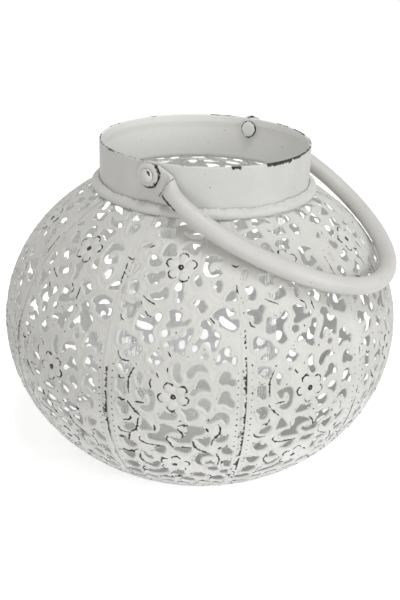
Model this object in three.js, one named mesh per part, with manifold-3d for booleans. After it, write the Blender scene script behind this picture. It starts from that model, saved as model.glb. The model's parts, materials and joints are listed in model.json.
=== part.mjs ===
// A garden or table lantern: a squashed globe of pierced, painted sheet steel, made of ten
// gores seamed edge to edge, with a plain collar on top, a swing handle riveted to the
// collar, a dished base and a loose glass cylinder for the candle inside.
// Millimetres, +Z up. The origin is on the floor, at the middle of the base.
// Azimuths are in degrees, from the front (-Y) round towards the right (+X).

import * as THREE from 'three';
import { mergeVertices } from 'three/addons/utils/BufferGeometryUtils.js';
import Module from 'manifold-3d';

const wasm = await Module();
wasm.setup();

// Globe
const GLOBE_RADIUS = 110; // outside, at the widest height
const BOWL_HEIGHT = 76.3; // from the floor up to the widest ring
const CROWN_HEIGHT = 77; // from the widest ring up to the top edge of the gores
const FOOT_RADIUS = 63.6; // outside, where the gores meet the floor
const NECK_STEP = 2.2; // from the collar's face out to the top edge of the gores
const SHEET = 1; // thickness of the pierced sheet
const GORE_COUNT = 10;
const FIRST_SEAM = 12; // azimuth of one seam
const GORE_COLUMNS = 4; // flat facets across a gore
const GORE_ROWS = 12; // flat facets along a gore
const SEAM_BORDER = 3.4; // plain sheet left beside each seam

// Collar and neck ring
const COLLAR_RADIUS = 56.7; // outside
const COLLAR_SHEET = 0.9;
const COLLAR_HEIGHT = 24.8; // from the foot of the neck ring up to the rim
const COLLAR_TUCK = 3.5; // how far the collar reaches down inside the gores
const HEM_HEIGHT = 4; // the rim is folded inwards and down by this much
const NECK_RING_HEIGHT = 3;
const NECK_RING_OVERHANG = 1.5; // past the top edge of the gores

// Base
const BASE_SHEET = 1.2;
const BASE_LIP = 9; // length of the lip that laps inside the feet of the gores

// Handle
const HANDLE_AZIMUTH = -27.4; // of the front pivot
const PIVOT_DROP = 6; // below the rim
const TUBE_RADIUS = 4.6;
const EAR_HALF_WIDTH = 7;
const EAR_THICKNESS = 2.4;
const EAR_LENGTH = 11; // from the pivot to the crease where the tube begins
const FLARE_LENGTH = 9; // over which the flat ear opens into the round tube
const HANDLE_REACH = 116.9; // from the pivot axis to the middle of the tube's far end
const SHOULDER_WIDEN = 22.3; // how far the handle's shoulders are drawn out sideways
const SHOULDER_REACH = 22.8; // and forwards, from the crease
const CROWN_HALF_WIDTH = 53; // how far the far end runs nearly straight, each way

// Rivets and washers
const SHANK_RADIUS = 2.2;
const HEAD_RADIUS = 3.7;
const HEAD_HEIGHT = 2.3;
const TAIL_RADIUS = 4.6;
const TAIL_HEIGHT = 1.2;
const WASHER_RADIUS = 6.5;
const WASHER_THICKNESS = 1;

// Glass cylinder
const GLASS_ROOM = 10.4; // round it, as it passes the folded rim of the collar
const GLASS_WALL = 3;
const GLASS_FLOOR = 4;
const GLASS_RISE = 2; // of its rim above the foot of the neck ring

// Fit
const CLEARANCE = 0.3; // left between pieces that touch
const ROUND_SIDES = 40; // facets round the collar, neck ring and glass
const SMALL_SIDES = 16; // facets round rivets and washers

// What follows from these
const goreAngle = (2 * Math.PI) / GORE_COUNT;
const firstSeam = THREE.MathUtils.degToRad(FIRST_SEAM);
const neckRadius = COLLAR_RADIUS + NECK_STEP;
const bowlDrop = BOWL_HEIGHT / Math.sqrt(1 - (FOOT_RADIUS / GLOBE_RADIUS) ** 2);
const crownRise = CROWN_HEIGHT / Math.sqrt(1 - (neckRadius / GLOBE_RADIUS) ** 2);
const neckRingFoot = BOWL_HEIGHT + CROWN_HEIGHT + CLEARANCE;
const collarTop = neckRingFoot + COLLAR_HEIGHT;
const pivotHeight = collarTop - PIVOT_DROP;
const pivotAzimuth = THREE.MathUtils.degToRad(HANDLE_AZIMUTH);
const earFace = COLLAR_RADIUS + CLEARANCE; // the ear's inner face, from the lantern's axis
const earMiddle = earFace + EAR_THICKNESS / 2;
const washerFace = earFace + EAR_THICKNESS + CLEARANCE;
const headFace = washerFace + WASHER_THICKNESS + CLEARANCE;

// Materials
const paint = new THREE.MeshStandardMaterial({ color: 0xcdcec9, roughness: 0.62, metalness: 0 });
const handlePaint = new THREE.MeshStandardMaterial({ color: 0xc9cac6, roughness: 0.5, metalness: 0 });
const rivetPaint = new THREE.MeshStandardMaterial({ color: 0xc2c3be, roughness: 0.5, metalness: 0.1 });
const glass = new THREE.MeshStandardMaterial({
  color: 0xf2f6f5,
  roughness: 0.05,
  metalness: 0,
  transparent: true,
  opacity: 0.35,
});

const lantern = new THREE.Group();

function addPiece(name, geometry, material, parent = lantern) {
  const mesh = new THREE.Mesh(geometry, material);
  mesh.name = name;
  parent.add(mesh);
  return mesh;
}

// A solid of revolution about +Z. The profile is a list of [radius, height], going round its
// material with the material on the left, and it closes on itself unless it ends on the axis.
function turned(profile, sides, start = 0) {
  const onAxis = profile[0][0] === 0;
  const closed = onAxis ? profile : [...profile, profile[0]];
  const points = closed.map(([radius, height]) => new THREE.Vector2(radius, height));
  const geometry = new THREE.LatheGeometry(points, sides, start);
  return geometry.rotateX(Math.PI / 2);
}

// Cutting with closed meshes
function toSolid(geometry) {
  const bare = geometry.clone();
  bare.deleteAttribute('normal');
  bare.deleteAttribute('uv');
  const merged = mergeVertices(bare, 1e-4);
  return new wasm.Manifold(
    new wasm.Mesh({
      numProp: 3,
      vertProperties: new Float32Array(merged.attributes.position.array),
      triVerts: new Uint32Array(merged.index.array),
    }),
  );
}

function toGeometry(solid) {
  const mesh = solid.getMesh();
  const geometry = new THREE.BufferGeometry();
  geometry.setAttribute('position', new THREE.BufferAttribute(mesh.vertProperties, 3));
  geometry.setIndex(new THREE.BufferAttribute(mesh.triVerts, 1));
  geometry.computeVertexNormals();
  return geometry;
}

function cutFrom(geometry, cutters) {
  const cut = cutters.reduce((solid, cutter) => solid.subtract(toSolid(cutter)), toSolid(geometry));
  return toGeometry(cut);
}

// The two round pins along the handle's pivot line that cut the holes for the rivets
function rivetPins(from, to) {
  const radius = SHANK_RADIUS + CLEARANCE;
  return [1, -1].map((side) => {
    const pin = new THREE.CylinderGeometry(radius, radius, to - from, SMALL_SIDES);
    return pin.translate(0, (side * (from + to)) / 2, 0);
  });
}

// The globe's outline: two half ellipses that meet at the widest ring. The turn is 0 there,
// negative below it and positive above, and depth goes inwards, square to the sheet.
function outlinePoint(turn, depth = 0) {
  const rise = turn > 0 ? crownRise : bowlDrop;
  const radius = GLOBE_RADIUS * Math.cos(turn);
  const height = rise * Math.sin(turn);
  const outwards = new THREE.Vector2(radius / GLOBE_RADIUS ** 2, height / rise ** 2).normalize();
  return new THREE.Vector2(radius, BOWL_HEIGHT + height).addScaledVector(outwards, -depth);
}

// The same outline by its length from the foot of a gore
const footTurn = -Math.acos(FOOT_RADIUS / GLOBE_RADIUS);
const topTurn = Math.acos(neckRadius / GLOBE_RADIUS);
const OUTLINE_STEPS = 400;
const outlineLengths = [0];
for (let i = 1; i <= OUTLINE_STEPS; i++) {
  const before = outlinePoint(THREE.MathUtils.lerp(footTurn, topTurn, (i - 1) / OUTLINE_STEPS));
  const here = outlinePoint(THREE.MathUtils.lerp(footTurn, topTurn, i / OUTLINE_STEPS));
  outlineLengths.push(outlineLengths[i - 1] + here.distanceTo(before));
}
const goreLength = outlineLengths[OUTLINE_STEPS];

function turnAt(length) {
  const after = outlineLengths.findIndex((reached) => reached >= length);
  const i = THREE.MathUtils.clamp(after, 1, OUTLINE_STEPS);
  const part = (length - outlineLengths[i - 1]) / (outlineLengths[i] - outlineLengths[i - 1]);
  return THREE.MathUtils.lerp(footTurn, topTurn, (i - 1 + part) / OUTLINE_STEPS);
}

function halfWidthAt(length) {
  return (outlinePoint(turnAt(length)).x * goreAngle - CLEARANCE) / 2;
}

// Outlines of the pierced openings, on a sheet that reaches from -1 to 1 each way. They go
// round clockwise.
const openings = {
  bell: [[-1, -1], [-0.6, 0.1], [-0.5, 1], [0.5, 1], [0.6, 0.1], [1, -1]],
  drop: [[0, 1], [0.7, 0.2], [0.85, -0.6], [0, -1], [-0.85, -0.6], [-0.7, 0.2]],
  leaf: [[-1, -0.5], [-0.8, 0.3], [0.2, 1], [1, 0.5], [0.8, -0.3], [-0.2, -1]],
  block: [[-1, -0.7], [-0.7, 1], [1, 0.7], [0.7, -1]],
  wedge: [[-1, -0.8], [-0.5, 0.8], [0, 1], [0.9, 0], [1, -0.5], [-0.7, -1]],
  crescent: [[-1, -0.8], [-0.6, 0.8], [0.6, 0.8], [1, -0.8], [0.5, -0.9], [0, 0], [-0.5, -0.9]],
  swirl: [[-0.2, -1], [-0.1, 0.1], [-1, -0.4], [-0.9, 0.6], [0.1, 1], [1, 0.4], [0.8, -0.8]],
  ess: [[-1, -0.6], [-0.5, 0.3], [0.2, 1], [0.9, 0.7], [0.2, 0], [1, -0.7], [-0.2, -1]],
};

// The pierced pattern: kind, then place across, place along, width and height, then tilt in
// degrees. Across and width are in hundredths of the gore's greatest half width, along and
// height in hundredths of its length. Three bare rounds up the middle, at 84, 49 and 21
// along, are left for the embossed flowers.
const pattern = [
  ['crescent', -27, 95.4, 30, 4.2, 0],
  ['drop', 9, 95.2, 26, 3.8, 70],
  ['block', 39, 95, 22, 4.2, 0],
  ['drop', -43, 89.6, 26, 5, -40],
  ['crescent', -2, 90.4, 40, 3.6, 0],
  ['drop', 43, 89.4, 26, 5.2, 40],
  ['bell', -46, 83.4, 26, 5.4, 0],
  ['swirl', 46, 83, 32, 6, 0],
  ['wedge', -46, 76.8, 34, 5.6, 0],
  ['leaf', -5, 76.6, 20, 5.8, 0],
  ['bell', 36, 76.6, 30, 5, 0],
  ['drop', -61, 70, 30, 6.2, 0],
  ['wedge', -22, 70.6, 32, 4.6, 0],
  ['swirl', 56, 70.6, 38, 6.6, 0],
  ['crescent', 2, 65.6, 40, 5, 0],
  ['drop', -42, 63.2, 32, 6.6, 0],
  ['bell', 42, 63.6, 36, 6.2, 0],
  ['bell', 73, 59.2, 24, 5.4, 0],
  ['bell', -72, 58.8, 26, 6.2, 0],
  ['drop', 6, 57.8, 28, 6, 0],
  ['leaf', -35, 55.8, 30, 5, 0],
  ['drop', 42, 55.6, 28, 5.2, 70],
  ['bell', 74, 51.6, 28, 5.8, 0],
  ['block', -75, 50, 22, 5.6, 0],
  ['swirl', -43, 48, 32, 7.2, 0],
  ['drop', 42, 48.6, 26, 5.6, -30],
  ['wedge', -6, 41.8, 42, 3.8, 0],
  ['leaf', 56, 43, 40, 5.6, -20],
  ['block', -68, 41.6, 30, 5, 0],
  ['leaf', -64, 34.8, 30, 5, 0],
  ['ess', -21, 35.4, 40, 6.6, 0],
  ['ess', 24, 35.2, 40, 6.6, 0],
  ['leaf', 68, 35.8, 26, 6, 0],
  ['leaf', -60, 28, 34, 5.2, 0],
  ['wedge', -4, 28.4, 44, 4, 0],
  ['bell', 56, 28.2, 32, 5.2, 0],
  ['swirl', 42, 21, 30, 6.6, 0],
  ['wedge', -53, 21, 32, 5.6, 0],
  ['leaf', -34, 14.6, 28, 5.4, 30],
  ['drop', 16, 13.6, 32, 4.4, 0],
  ['block', 49, 14, 22, 4.4, 0],
  ['leaf', -10, 7.6, 44, 4, 0],
];

const widestLength = outlineLengths[Math.round((OUTLINE_STEPS * -footTurn) / (topTurn - footTurn))];

function pierced([kind, across, along, width, height, tilt]) {
  const wide = halfWidthAt(widestLength) / 100;
  const long = goreLength / 100;
  const middle = new THREE.Vector2(across * wide, along * long);
  const spin = THREE.MathUtils.degToRad(tilt);
  return openings[kind].map(([x, y]) => {
    const corner = new THREE.Vector2((x * width * wide) / 2, (y * height * long) / 2);
    return corner.rotateAround(new THREE.Vector2(), spin).add(middle);
  });
}

function clearOfSeams(outline) {
  return outline.every(
    ({ x, y }) =>
      y > SEAM_BORDER &&
      y < goreLength - SEAM_BORDER &&
      Math.abs(x) < halfWidthAt(y) - SEAM_BORDER,
  );
}

// The outline of the flat gore, going round it from its foot's left corner
function goreOutline() {
  const outline = [];
  for (let i = 0; i < GORE_COLUMNS; i++) {
    outline.push(new THREE.Vector2(halfWidthAt(0) * ((2 * i) / GORE_COLUMNS - 1), 0));
  }
  for (let i = 0; i < GORE_ROWS; i++) {
    const length = (goreLength * i) / GORE_ROWS;
    outline.push(new THREE.Vector2(halfWidthAt(length), length));
  }
  for (let i = 0; i < GORE_COLUMNS; i++) {
    const across = halfWidthAt(goreLength) * (1 - (2 * i) / GORE_COLUMNS);
    outline.push(new THREE.Vector2(across, goreLength));
  }
  for (let i = GORE_ROWS; i > 0; i--) {
    const length = (goreLength * i) / GORE_ROWS;
    outline.push(new THREE.Vector2(-halfWidthAt(length), length));
  }
  return outline;
}

// A point of the flat gore, with its ends drawn as the arcs that the blank is cut to
function drawn({ x, y }) {
  const bow = (y / goreLength - 0.5) / goreLength;
  return new THREE.Vector2(x, y + bow * x * x);
}

function inside(point, outline) {
  let crossings = 0;
  outline.forEach((a, i) => {
    const b = outline[(i + 1) % outline.length];
    const spans = a.y > point.y !== b.y > point.y;
    if (spans && point.x < a.x + ((point.y - a.y) / (b.y - a.y)) * (b.x - a.x)) crossings += 1;
  });
  return crossings % 2 === 1;
}

function distanceTo(point, outline) {
  const closest = new THREE.Vector3();
  const from = new THREE.Vector3(point.x, point.y, 0);
  const distances = outline.map((a, i) => {
    const b = outline[(i + 1) % outline.length];
    const edge = new THREE.Line3(new THREE.Vector3(a.x, a.y, 0), new THREE.Vector3(b.x, b.y, 0));
    return edge.closestPointToPoint(from, true, closest).distanceTo(from);
  });
  return Math.min(...distances);
}

// Points inside the sheet that keep its facets short where no opening does
function fillers(outline, holes) {
  const points = [];
  for (let row = 1; row < GORE_ROWS; row++) {
    for (let column = 1; column < GORE_COLUMNS; column++) {
      const length = (goreLength * row) / GORE_ROWS;
      const across = halfWidthAt(length) * ((2 * column) / GORE_COLUMNS - 1);
      const point = new THREE.Vector2(across, length);
      const clear = (hole) => !inside(point, hole) && distanceTo(point, hole) > SEAM_BORDER;
      if (holes.every(clear) && distanceTo(point, outline) > SEAM_BORDER) points.push(point);
    }
  }
  return points;
}

// Facets of the flat sheet, with the diagonals turned until none is longer than it needs to be
function facets(outline, holes, loose) {
  const rings = [outline, ...holes];
  const points = [...rings.flat(), ...loose];
  const flat = points.map(drawn);
  const edges = new Set();
  let first = 0;
  for (const ring of rings) {
    ring.forEach((_, i) => edges.add(edgeName(first + i, first + ((i + 1) % ring.length))));
    first += ring.length;
  }
  const single = loose.map((point) => [drawn(point)]);
  const faces = THREE.ShapeUtils.triangulateShape(
    outline.map(drawn),
    [...holes.map((hole) => hole.map(drawn)), ...single],
  );
  let settled = false;
  while (!settled) {
    settled = true;
    const seen = new Map();
    const changed = new Set();
    faces.forEach((face, at) => {
      for (let i = 0; i < 3; i++) {
        const name = edgeName(face[i], face[(i + 1) % 3]);
        if (edges.has(name)) continue;
        if (!seen.has(name)) {
          seen.set(name, at);
          continue;
        }
        const other = seen.get(name);
        if (changed.has(at) || changed.has(other)) continue;
        if (turnDiagonal(faces, at, other, flat)) {
          changed.add(at).add(other);
          settled = false;
          break;
        }
      }
    });
  }
  return { points, faces, rings };
}

function edgeName(a, b) {
  return a < b ? `${a} ${b}` : `${b} ${a}`;
}

function area(a, b, c) {
  return (b.x - a.x) * (c.y - a.y) - (c.x - a.x) * (b.y - a.y);
}

// Turns the diagonal that two facets share where the far corner lies in the first one's circle
function turnDiagonal(faces, one, two, flat) {
  const far = faces[two].find((corner) => !faces[one].includes(corner));
  const near = faces[one].findIndex((corner) => !faces[two].includes(corner));
  if (far === undefined || near < 0) return false;
  const tip = faces[one][near];
  const left = faces[one][(near + 1) % 3];
  const right = faces[one][(near + 2) % 3];
  const [p, a, b, q] = [flat[tip], flat[left], flat[right], flat[far]];
  if (area(p, a, q) <= 1e-6 || area(p, q, b) <= 1e-6) return false;
  const angle = (at, from, to) => {
    const u = from.clone().sub(at);
    const v = to.clone().sub(at);
    return Math.acos(THREE.MathUtils.clamp(u.dot(v) / (u.length() * v.length()), -1, 1));
  };
  if (angle(p, a, b) + angle(q, a, b) <= Math.PI + 1e-6) return false;
  faces[one] = [tip, left, far];
  faces[two] = [tip, far, right];
  return true;
}

// A point of the flat gore, bent to the globe at a depth into the sheet. The gore's middle
// line faces the front.
function bent({ x, y }, depth) {
  const turn = turnAt(y);
  const azimuth = x / outlinePoint(turn).x;
  const at = outlinePoint(turn, depth);
  return [at.x * Math.sin(azimuth), -at.x * Math.cos(azimuth), at.y];
}

function goreGeometry() {
  const holes = pattern.map(pierced).filter(clearOfSeams);
  const outline = goreOutline();
  const { points, faces, rings } = facets(outline, holes, fillers(outline, holes));
  const positions = [
    ...points.flatMap((point) => bent(point, 0)),
    ...points.flatMap((point) => bent(point, SHEET)),
  ];
  const inner = points.length;
  const index = [];
  for (const [a, b, c] of faces) {
    index.push(a, b, c, inner + a, inner + c, inner + b);
  }
  let first = 0;
  for (const ring of rings) {
    ring.forEach((_, i) => {
      const a = first + i;
      const b = first + ((i + 1) % ring.length);
      index.push(b, a, inner + a, b, inner + a, inner + b);
    });
    first += ring.length;
  }
  const geometry = new THREE.BufferGeometry();
  geometry.setAttribute('position', new THREE.Float32BufferAttribute(positions, 3));
  geometry.setIndex(index);
  geometry.computeVertexNormals();
  return geometry;
}

const gore = goreGeometry();
for (let i = 0; i < GORE_COUNT; i++) {
  const name = `gore_${String(i + 1).padStart(2, '0')}`;
  addPiece(name, gore, paint).rotation.z = firstSeam + goreAngle * (i + 0.5);
}

// Collar: a plain band with its rim folded inwards, tucked down inside the neck ring
function collarGeometry() {
  const inside = COLLAR_RADIUS - COLLAR_SHEET;
  const folded = inside - COLLAR_SHEET;
  const foot = neckRingFoot - COLLAR_TUCK;
  const band = turned(
    [
      [COLLAR_RADIUS, foot],
      [COLLAR_RADIUS, collarTop - COLLAR_SHEET / 2],
      [inside, collarTop],
      [folded, collarTop - COLLAR_SHEET / 2],
      [folded, collarTop - HEM_HEIGHT],
      [inside, collarTop - HEM_HEIGHT],
      [inside, foot],
    ],
    ROUND_SIDES,
    pivotAzimuth - Math.PI / ROUND_SIDES,
  );
  const pins = rivetPins(folded - COLLAR_SHEET, COLLAR_RADIUS + COLLAR_SHEET);
  return cutFrom(
    band,
    pins.map((pin) => pin.rotateZ(pivotAzimuth).translate(0, 0, pivotHeight)),
  );
}
addPiece('collar', collarGeometry(), paint);

// Neck ring: the rolled shoulder that hides the top edges of the gores
function neckRingGeometry() {
  const near = COLLAR_RADIUS + CLEARANCE;
  const far = neckRadius + NECK_RING_OVERHANG;
  const wide = far - near;
  const high = NECK_RING_HEIGHT;
  return turned(
    [
      [near, neckRingFoot],
      [far, neckRingFoot],
      [far + wide * 0.08, neckRingFoot + high * 0.25],
      [near + wide * 0.92, neckRingFoot + high * 0.6],
      [near + wide * 0.6, neckRingFoot + high * 0.9],
      [near, neckRingFoot + high],
    ],
    ROUND_SIDES,
    pivotAzimuth - Math.PI / ROUND_SIDES,
  );
}
addPiece('neck_ring', neckRingGeometry(), paint);

// Base: a dished pan whose lip laps inside the feet of the gores
function baseGeometry() {
  const gap = SHEET + CLEARANCE;
  const lipTop = turnAt(BASE_LIP);
  const outerFoot = outlinePoint(footTurn, gap);
  const innerFoot = outlinePoint(footTurn, gap + BASE_SHEET);
  return turned(
    [
      [0, 0],
      [outerFoot.x - outerFoot.y, 0],
      [outerFoot.x, outerFoot.y],
      outlinePoint(lipTop, gap).toArray(),
      outlinePoint(lipTop, gap + BASE_SHEET).toArray(),
      [innerFoot.x - BASE_SHEET, BASE_SHEET],
      [0, BASE_SHEET],
    ],
    GORE_COUNT * GORE_COLUMNS,
    firstSeam,
  );
}
addPiece('base_pan', baseGeometry(), paint);

// Handle: one tube, flattened into an ear at each end. It is drawn flat, with its pivot line
// along Y and its reach along X.
function handlePath() {
  const path = new THREE.CurvePath();
  const at = (across, reach) => new THREE.Vector3(reach, across, 0);
  const half = (side) =>
    new THREE.CubicBezierCurve3(
      at(side * earMiddle, EAR_LENGTH),
      at(side * (earMiddle + SHOULDER_WIDEN), EAR_LENGTH + SHOULDER_REACH),
      at(side * CROWN_HALF_WIDTH, HANDLE_REACH),
      at(0, HANDLE_REACH),
    );
  const back = half(1);
  const front = half(-1);
  path.add(new THREE.LineCurve3(at(earMiddle, -EAR_HALF_WIDTH), at(earMiddle, EAR_LENGTH)));
  path.add(back);
  path.add(new THREE.CubicBezierCurve3(front.v3, front.v2, front.v1, front.v0));
  path.add(new THREE.LineCurve3(at(-earMiddle, EAR_LENGTH), at(-earMiddle, -EAR_HALF_WIDTH)));
  return path;
}

// The tube's section at a distance from its nearer end: half width across the ear, half
// thickness, and how square its corners are
function handleSection(fromEnd) {
  const flare = THREE.MathUtils.smoothstep(
    fromEnd,
    EAR_HALF_WIDTH + EAR_LENGTH - FLARE_LENGTH / 3,
    EAR_HALF_WIDTH + EAR_LENGTH + FLARE_LENGTH,
  );
  const intoNose = Math.max(EAR_HALF_WIDTH - fromEnd, 0);
  const nose = Math.sqrt(EAR_HALF_WIDTH ** 2 - intoNose ** 2);
  return {
    halfWidth: Math.min(THREE.MathUtils.lerp(EAR_HALF_WIDTH, TUBE_RADIUS, flare), nose),
    halfThickness: THREE.MathUtils.lerp(EAR_THICKNESS / 2, TUBE_RADIUS, flare),
    corner: THREE.MathUtils.lerp(0.35, 1, flare),
  };
}

function handleStations(length) {
  const ear = EAR_HALF_WIDTH + EAR_LENGTH;
  const noseSteps = [0.03, 0.14, 0.4, 1];
  const ends = [
    ...noseSteps.map((part) => part * EAR_HALF_WIDTH),
    ear - FLARE_LENGTH / 3,
    ear,
    ear + FLARE_LENGTH / 3,
    ear + (FLARE_LENGTH * 2) / 3,
    ear + FLARE_LENGTH,
  ];
  const TUBE_STEPS = 26;
  const clear = ear + FLARE_LENGTH;
  const tube = [];
  for (let i = 1; i < TUBE_STEPS; i++) {
    tube.push(THREE.MathUtils.lerp(clear, length - clear, i / TUBE_STEPS));
  }
  return [...ends, ...tube, ...ends.map((at) => length - at).reverse()];
}

function handleGeometry() {
  const SIDES = 10;
  const path = handlePath();
  const length = path.getLength();
  const rings = handleStations(length).map((at) => {
    const centre = path.getPointAt(at / length);
    const ahead = path.getTangentAt(at / length);
    const sideways = new THREE.Vector3(-ahead.y, ahead.x, 0);
    const { halfWidth, halfThickness, corner } = handleSection(Math.min(at, length - at));
    return Array.from({ length: SIDES }, (_, i) => {
      const turn = (2 * Math.PI * (i + 0.5)) / SIDES;
      const bulge = (value) => Math.sign(value) * Math.abs(value) ** corner;
      return centre
        .clone()
        .addScaledVector(sideways, bulge(Math.cos(turn)) * halfThickness)
        .add(new THREE.Vector3(0, 0, bulge(Math.sin(turn)) * halfWidth));
    });
  });
  const index = [];
  for (let i = 0; i + 1 < rings.length; i++) {
    for (let j = 0; j < SIDES; j++) {
      const k = (j + 1) % SIDES;
      const [a, b, c, d] = [i * SIDES + j, i * SIDES + k, (i + 1) * SIDES + k, (i + 1) * SIDES + j];
      index.push(a, b, c, a, c, d);
    }
  }
  const last = (rings.length - 1) * SIDES;
  for (let j = 1; j + 1 < SIDES; j++) {
    index.push(0, j + 1, j, last, last + j, last + j + 1);
  }
  const geometry = new THREE.BufferGeometry().setFromPoints(rings.flat());
  geometry.setIndex(index);
  return cutFrom(geometry, rivetPins(earFace - EAR_THICKNESS, washerFace + EAR_THICKNESS));
}

// How far the handle drops below level before its tube rests on the globe or the neck ring
function restingDrop() {
  const path = handlePath();
  const length = path.getLength();
  const start = (EAR_HALF_WIDTH + EAR_LENGTH + FLARE_LENGTH) / length;
  const points = Array.from({ length: 200 }, (_, i) => {
    return path.getPointAt(THREE.MathUtils.lerp(start, 0.5, i / 199));
  });
  const ringMiddle = new THREE.Vector2(
    (earFace + neckRadius) / 2,
    neckRingFoot + NECK_RING_HEIGHT / 2,
  );
  const room = (drop) =>
    Math.min(
      ...points.map((point) => {
        const out = Math.hypot(point.x * Math.cos(drop), point.y);
        const height = pivotHeight - point.x * Math.sin(drop);
        const above = height - BOWL_HEIGHT;
        const rise = above > 0 ? crownRise : bowlDrop;
        const level = Math.hypot(out / GLOBE_RADIUS, above / rise);
        const slope = Math.hypot(out / GLOBE_RADIUS ** 2, above / rise ** 2) / level;
        const toGlobe = (level - 1) / slope;
        const toRing = ringMiddle.distanceTo(new THREE.Vector2(out, height)) - NECK_RING_HEIGHT / 2;
        return Math.min(toGlobe, toRing);
      }),
    ) - TUBE_RADIUS;
  let [high, low] = [0, Math.PI / 2];
  for (let i = 0; i < 40; i++) {
    const middle = (high + low) / 2;
    if (room(middle) > CLEARANCE) high = middle;
    else low = middle;
  }
  return high;
}

const drop = restingDrop();
const pivots = new THREE.Group();
pivots.position.z = pivotHeight;
pivots.rotation.z = pivotAzimuth;
lantern.add(pivots);
addPiece('handle', handleGeometry(), handlePaint, pivots).rotation.y = drop;

// Rivets and washers: each rivet's shank passes through the collar, the ear and the washer
function rivetGeometry() {
  const tailFace = COLLAR_RADIUS - 2 * COLLAR_SHEET - CLEARANCE;
  const inner = Math.sqrt(tailFace ** 2 - TAIL_RADIUS ** 2);
  const dome = [1, 0.92, 0.7, 0.38].map((part) => {
    return [HEAD_RADIUS * part, headFace + HEAD_HEIGHT * Math.sqrt(1 - part ** 2)];
  });
  const profile = [
    [0, inner - TAIL_HEIGHT],
    [TAIL_RADIUS * 0.8, inner - TAIL_HEIGHT],
    [TAIL_RADIUS, inner - TAIL_HEIGHT * 0.6],
    [TAIL_RADIUS, inner],
    [SHANK_RADIUS, inner],
    [SHANK_RADIUS, headFace],
    ...dome,
    [0, headFace + HEAD_HEIGHT],
  ];
  return turned(profile, SMALL_SIDES).rotateX(Math.PI / 2);
}

function washerGeometry() {
  const hole = SHANK_RADIUS + CLEARANCE;
  const profile = [
    [hole, washerFace],
    [WASHER_RADIUS, washerFace],
    [WASHER_RADIUS, washerFace + WASHER_THICKNESS * 0.6],
    [WASHER_RADIUS - WASHER_THICKNESS * 0.4, washerFace + WASHER_THICKNESS],
    [hole, washerFace + WASHER_THICKNESS],
  ];
  return turned(profile, SMALL_SIDES).rotateX(Math.PI / 2);
}

const sides = { front: 0, back: Math.PI };
for (const [side, spin] of Object.entries(sides)) {
  addPiece(`${side}_rivet`, rivetGeometry(), rivetPaint, pivots).rotation.z = spin;
  addPiece(`${side}_washer`, washerGeometry(), rivetPaint, pivots).rotation.z = spin;
}

// Glass cylinder: open at the top, standing loose on the base
function glassGeometry() {
  const outside = COLLAR_RADIUS - 2 * COLLAR_SHEET - GLASS_ROOM;
  const inside = outside - GLASS_WALL;
  const foot = BASE_SHEET + CLEARANCE;
  const rim = neckRingFoot + GLASS_RISE;
  const round = GLASS_WALL * 0.3;
  return turned(
    [
      [0, foot],
      [outside - round, foot],
      [outside, foot + round],
      [outside, rim - round],
      [outside - round, rim],
      [inside + round, rim],
      [inside, rim - round],
      [inside, foot + GLASS_FLOOR],
      [0, foot + GLASS_FLOOR],
    ],
    ROUND_SIDES,
  );
}
addPiece('glass_cylinder', glassGeometry(), glass);

export default lantern;
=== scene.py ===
import json
import math

import bpy
import numpy as np
from mathutils import Matrix, Vector, kdtree
from mathutils.geometry import delaunay_2d_cdt

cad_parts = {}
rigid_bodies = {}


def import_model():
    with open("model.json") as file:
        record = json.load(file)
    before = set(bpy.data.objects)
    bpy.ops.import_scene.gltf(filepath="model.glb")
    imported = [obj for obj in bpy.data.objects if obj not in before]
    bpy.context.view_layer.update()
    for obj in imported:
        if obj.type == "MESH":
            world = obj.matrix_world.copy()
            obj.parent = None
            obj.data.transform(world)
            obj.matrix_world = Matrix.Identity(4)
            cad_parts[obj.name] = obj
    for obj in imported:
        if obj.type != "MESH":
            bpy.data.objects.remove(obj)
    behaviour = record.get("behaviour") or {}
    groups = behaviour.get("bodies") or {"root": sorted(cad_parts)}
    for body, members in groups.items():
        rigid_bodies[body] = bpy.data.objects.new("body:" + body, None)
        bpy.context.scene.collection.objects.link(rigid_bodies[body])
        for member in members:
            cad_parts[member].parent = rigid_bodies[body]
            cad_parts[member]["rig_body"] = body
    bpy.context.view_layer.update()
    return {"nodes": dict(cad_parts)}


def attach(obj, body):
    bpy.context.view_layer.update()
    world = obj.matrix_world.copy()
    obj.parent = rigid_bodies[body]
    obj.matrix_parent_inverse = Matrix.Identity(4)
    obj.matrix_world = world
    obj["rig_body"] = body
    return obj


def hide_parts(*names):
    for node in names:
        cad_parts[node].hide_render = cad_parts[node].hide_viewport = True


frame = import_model()
MM = 0.001

# Studio: a white sweep with soft, low light from the front, as for a catalogue picture. The
# camera looks slightly down on the lantern, and the floor keeps the lantern's soft shadow.
CAMERA_HEIGHT = 309.9 * MM
CAMERA_BACK = 518.0 * MM
AIM_HEIGHT = 85 * MM
CAMERA_ROLL = math.radians(1.85)
LENS = 59.14
SENSOR = 36
FRAME_HIGH = 600
SHIFT_ACROSS = -0.5
SHIFT_UP = -2.27

camera_data = bpy.data.cameras.new("camera")
camera_data.sensor_fit = "VERTICAL"
camera_data.sensor_height = SENSOR
camera_data.lens = LENS
camera_data.shift_x = SHIFT_ACROSS / FRAME_HIGH
camera_data.shift_y = SHIFT_UP / FRAME_HIGH
camera_data.clip_start = 0.01
camera = bpy.data.objects.new("camera", camera_data)
bpy.context.scene.collection.objects.link(camera)
camera_place = Vector((0, -CAMERA_BACK, CAMERA_HEIGHT))
ahead = (Vector((0, 0, AIM_HEIGHT)) - camera_place).normalized()
level_right = Vector((1, 0, 0))
level_up = level_right.cross(ahead)
right = level_right * math.cos(CAMERA_ROLL) + level_up * math.sin(CAMERA_ROLL)
up = level_up * math.cos(CAMERA_ROLL) - level_right * math.sin(CAMERA_ROLL)
turned_camera = Matrix((right, up, -ahead)).transposed().to_4x4()
camera.matrix_world = Matrix.Translation(camera_place) @ turned_camera
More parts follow.
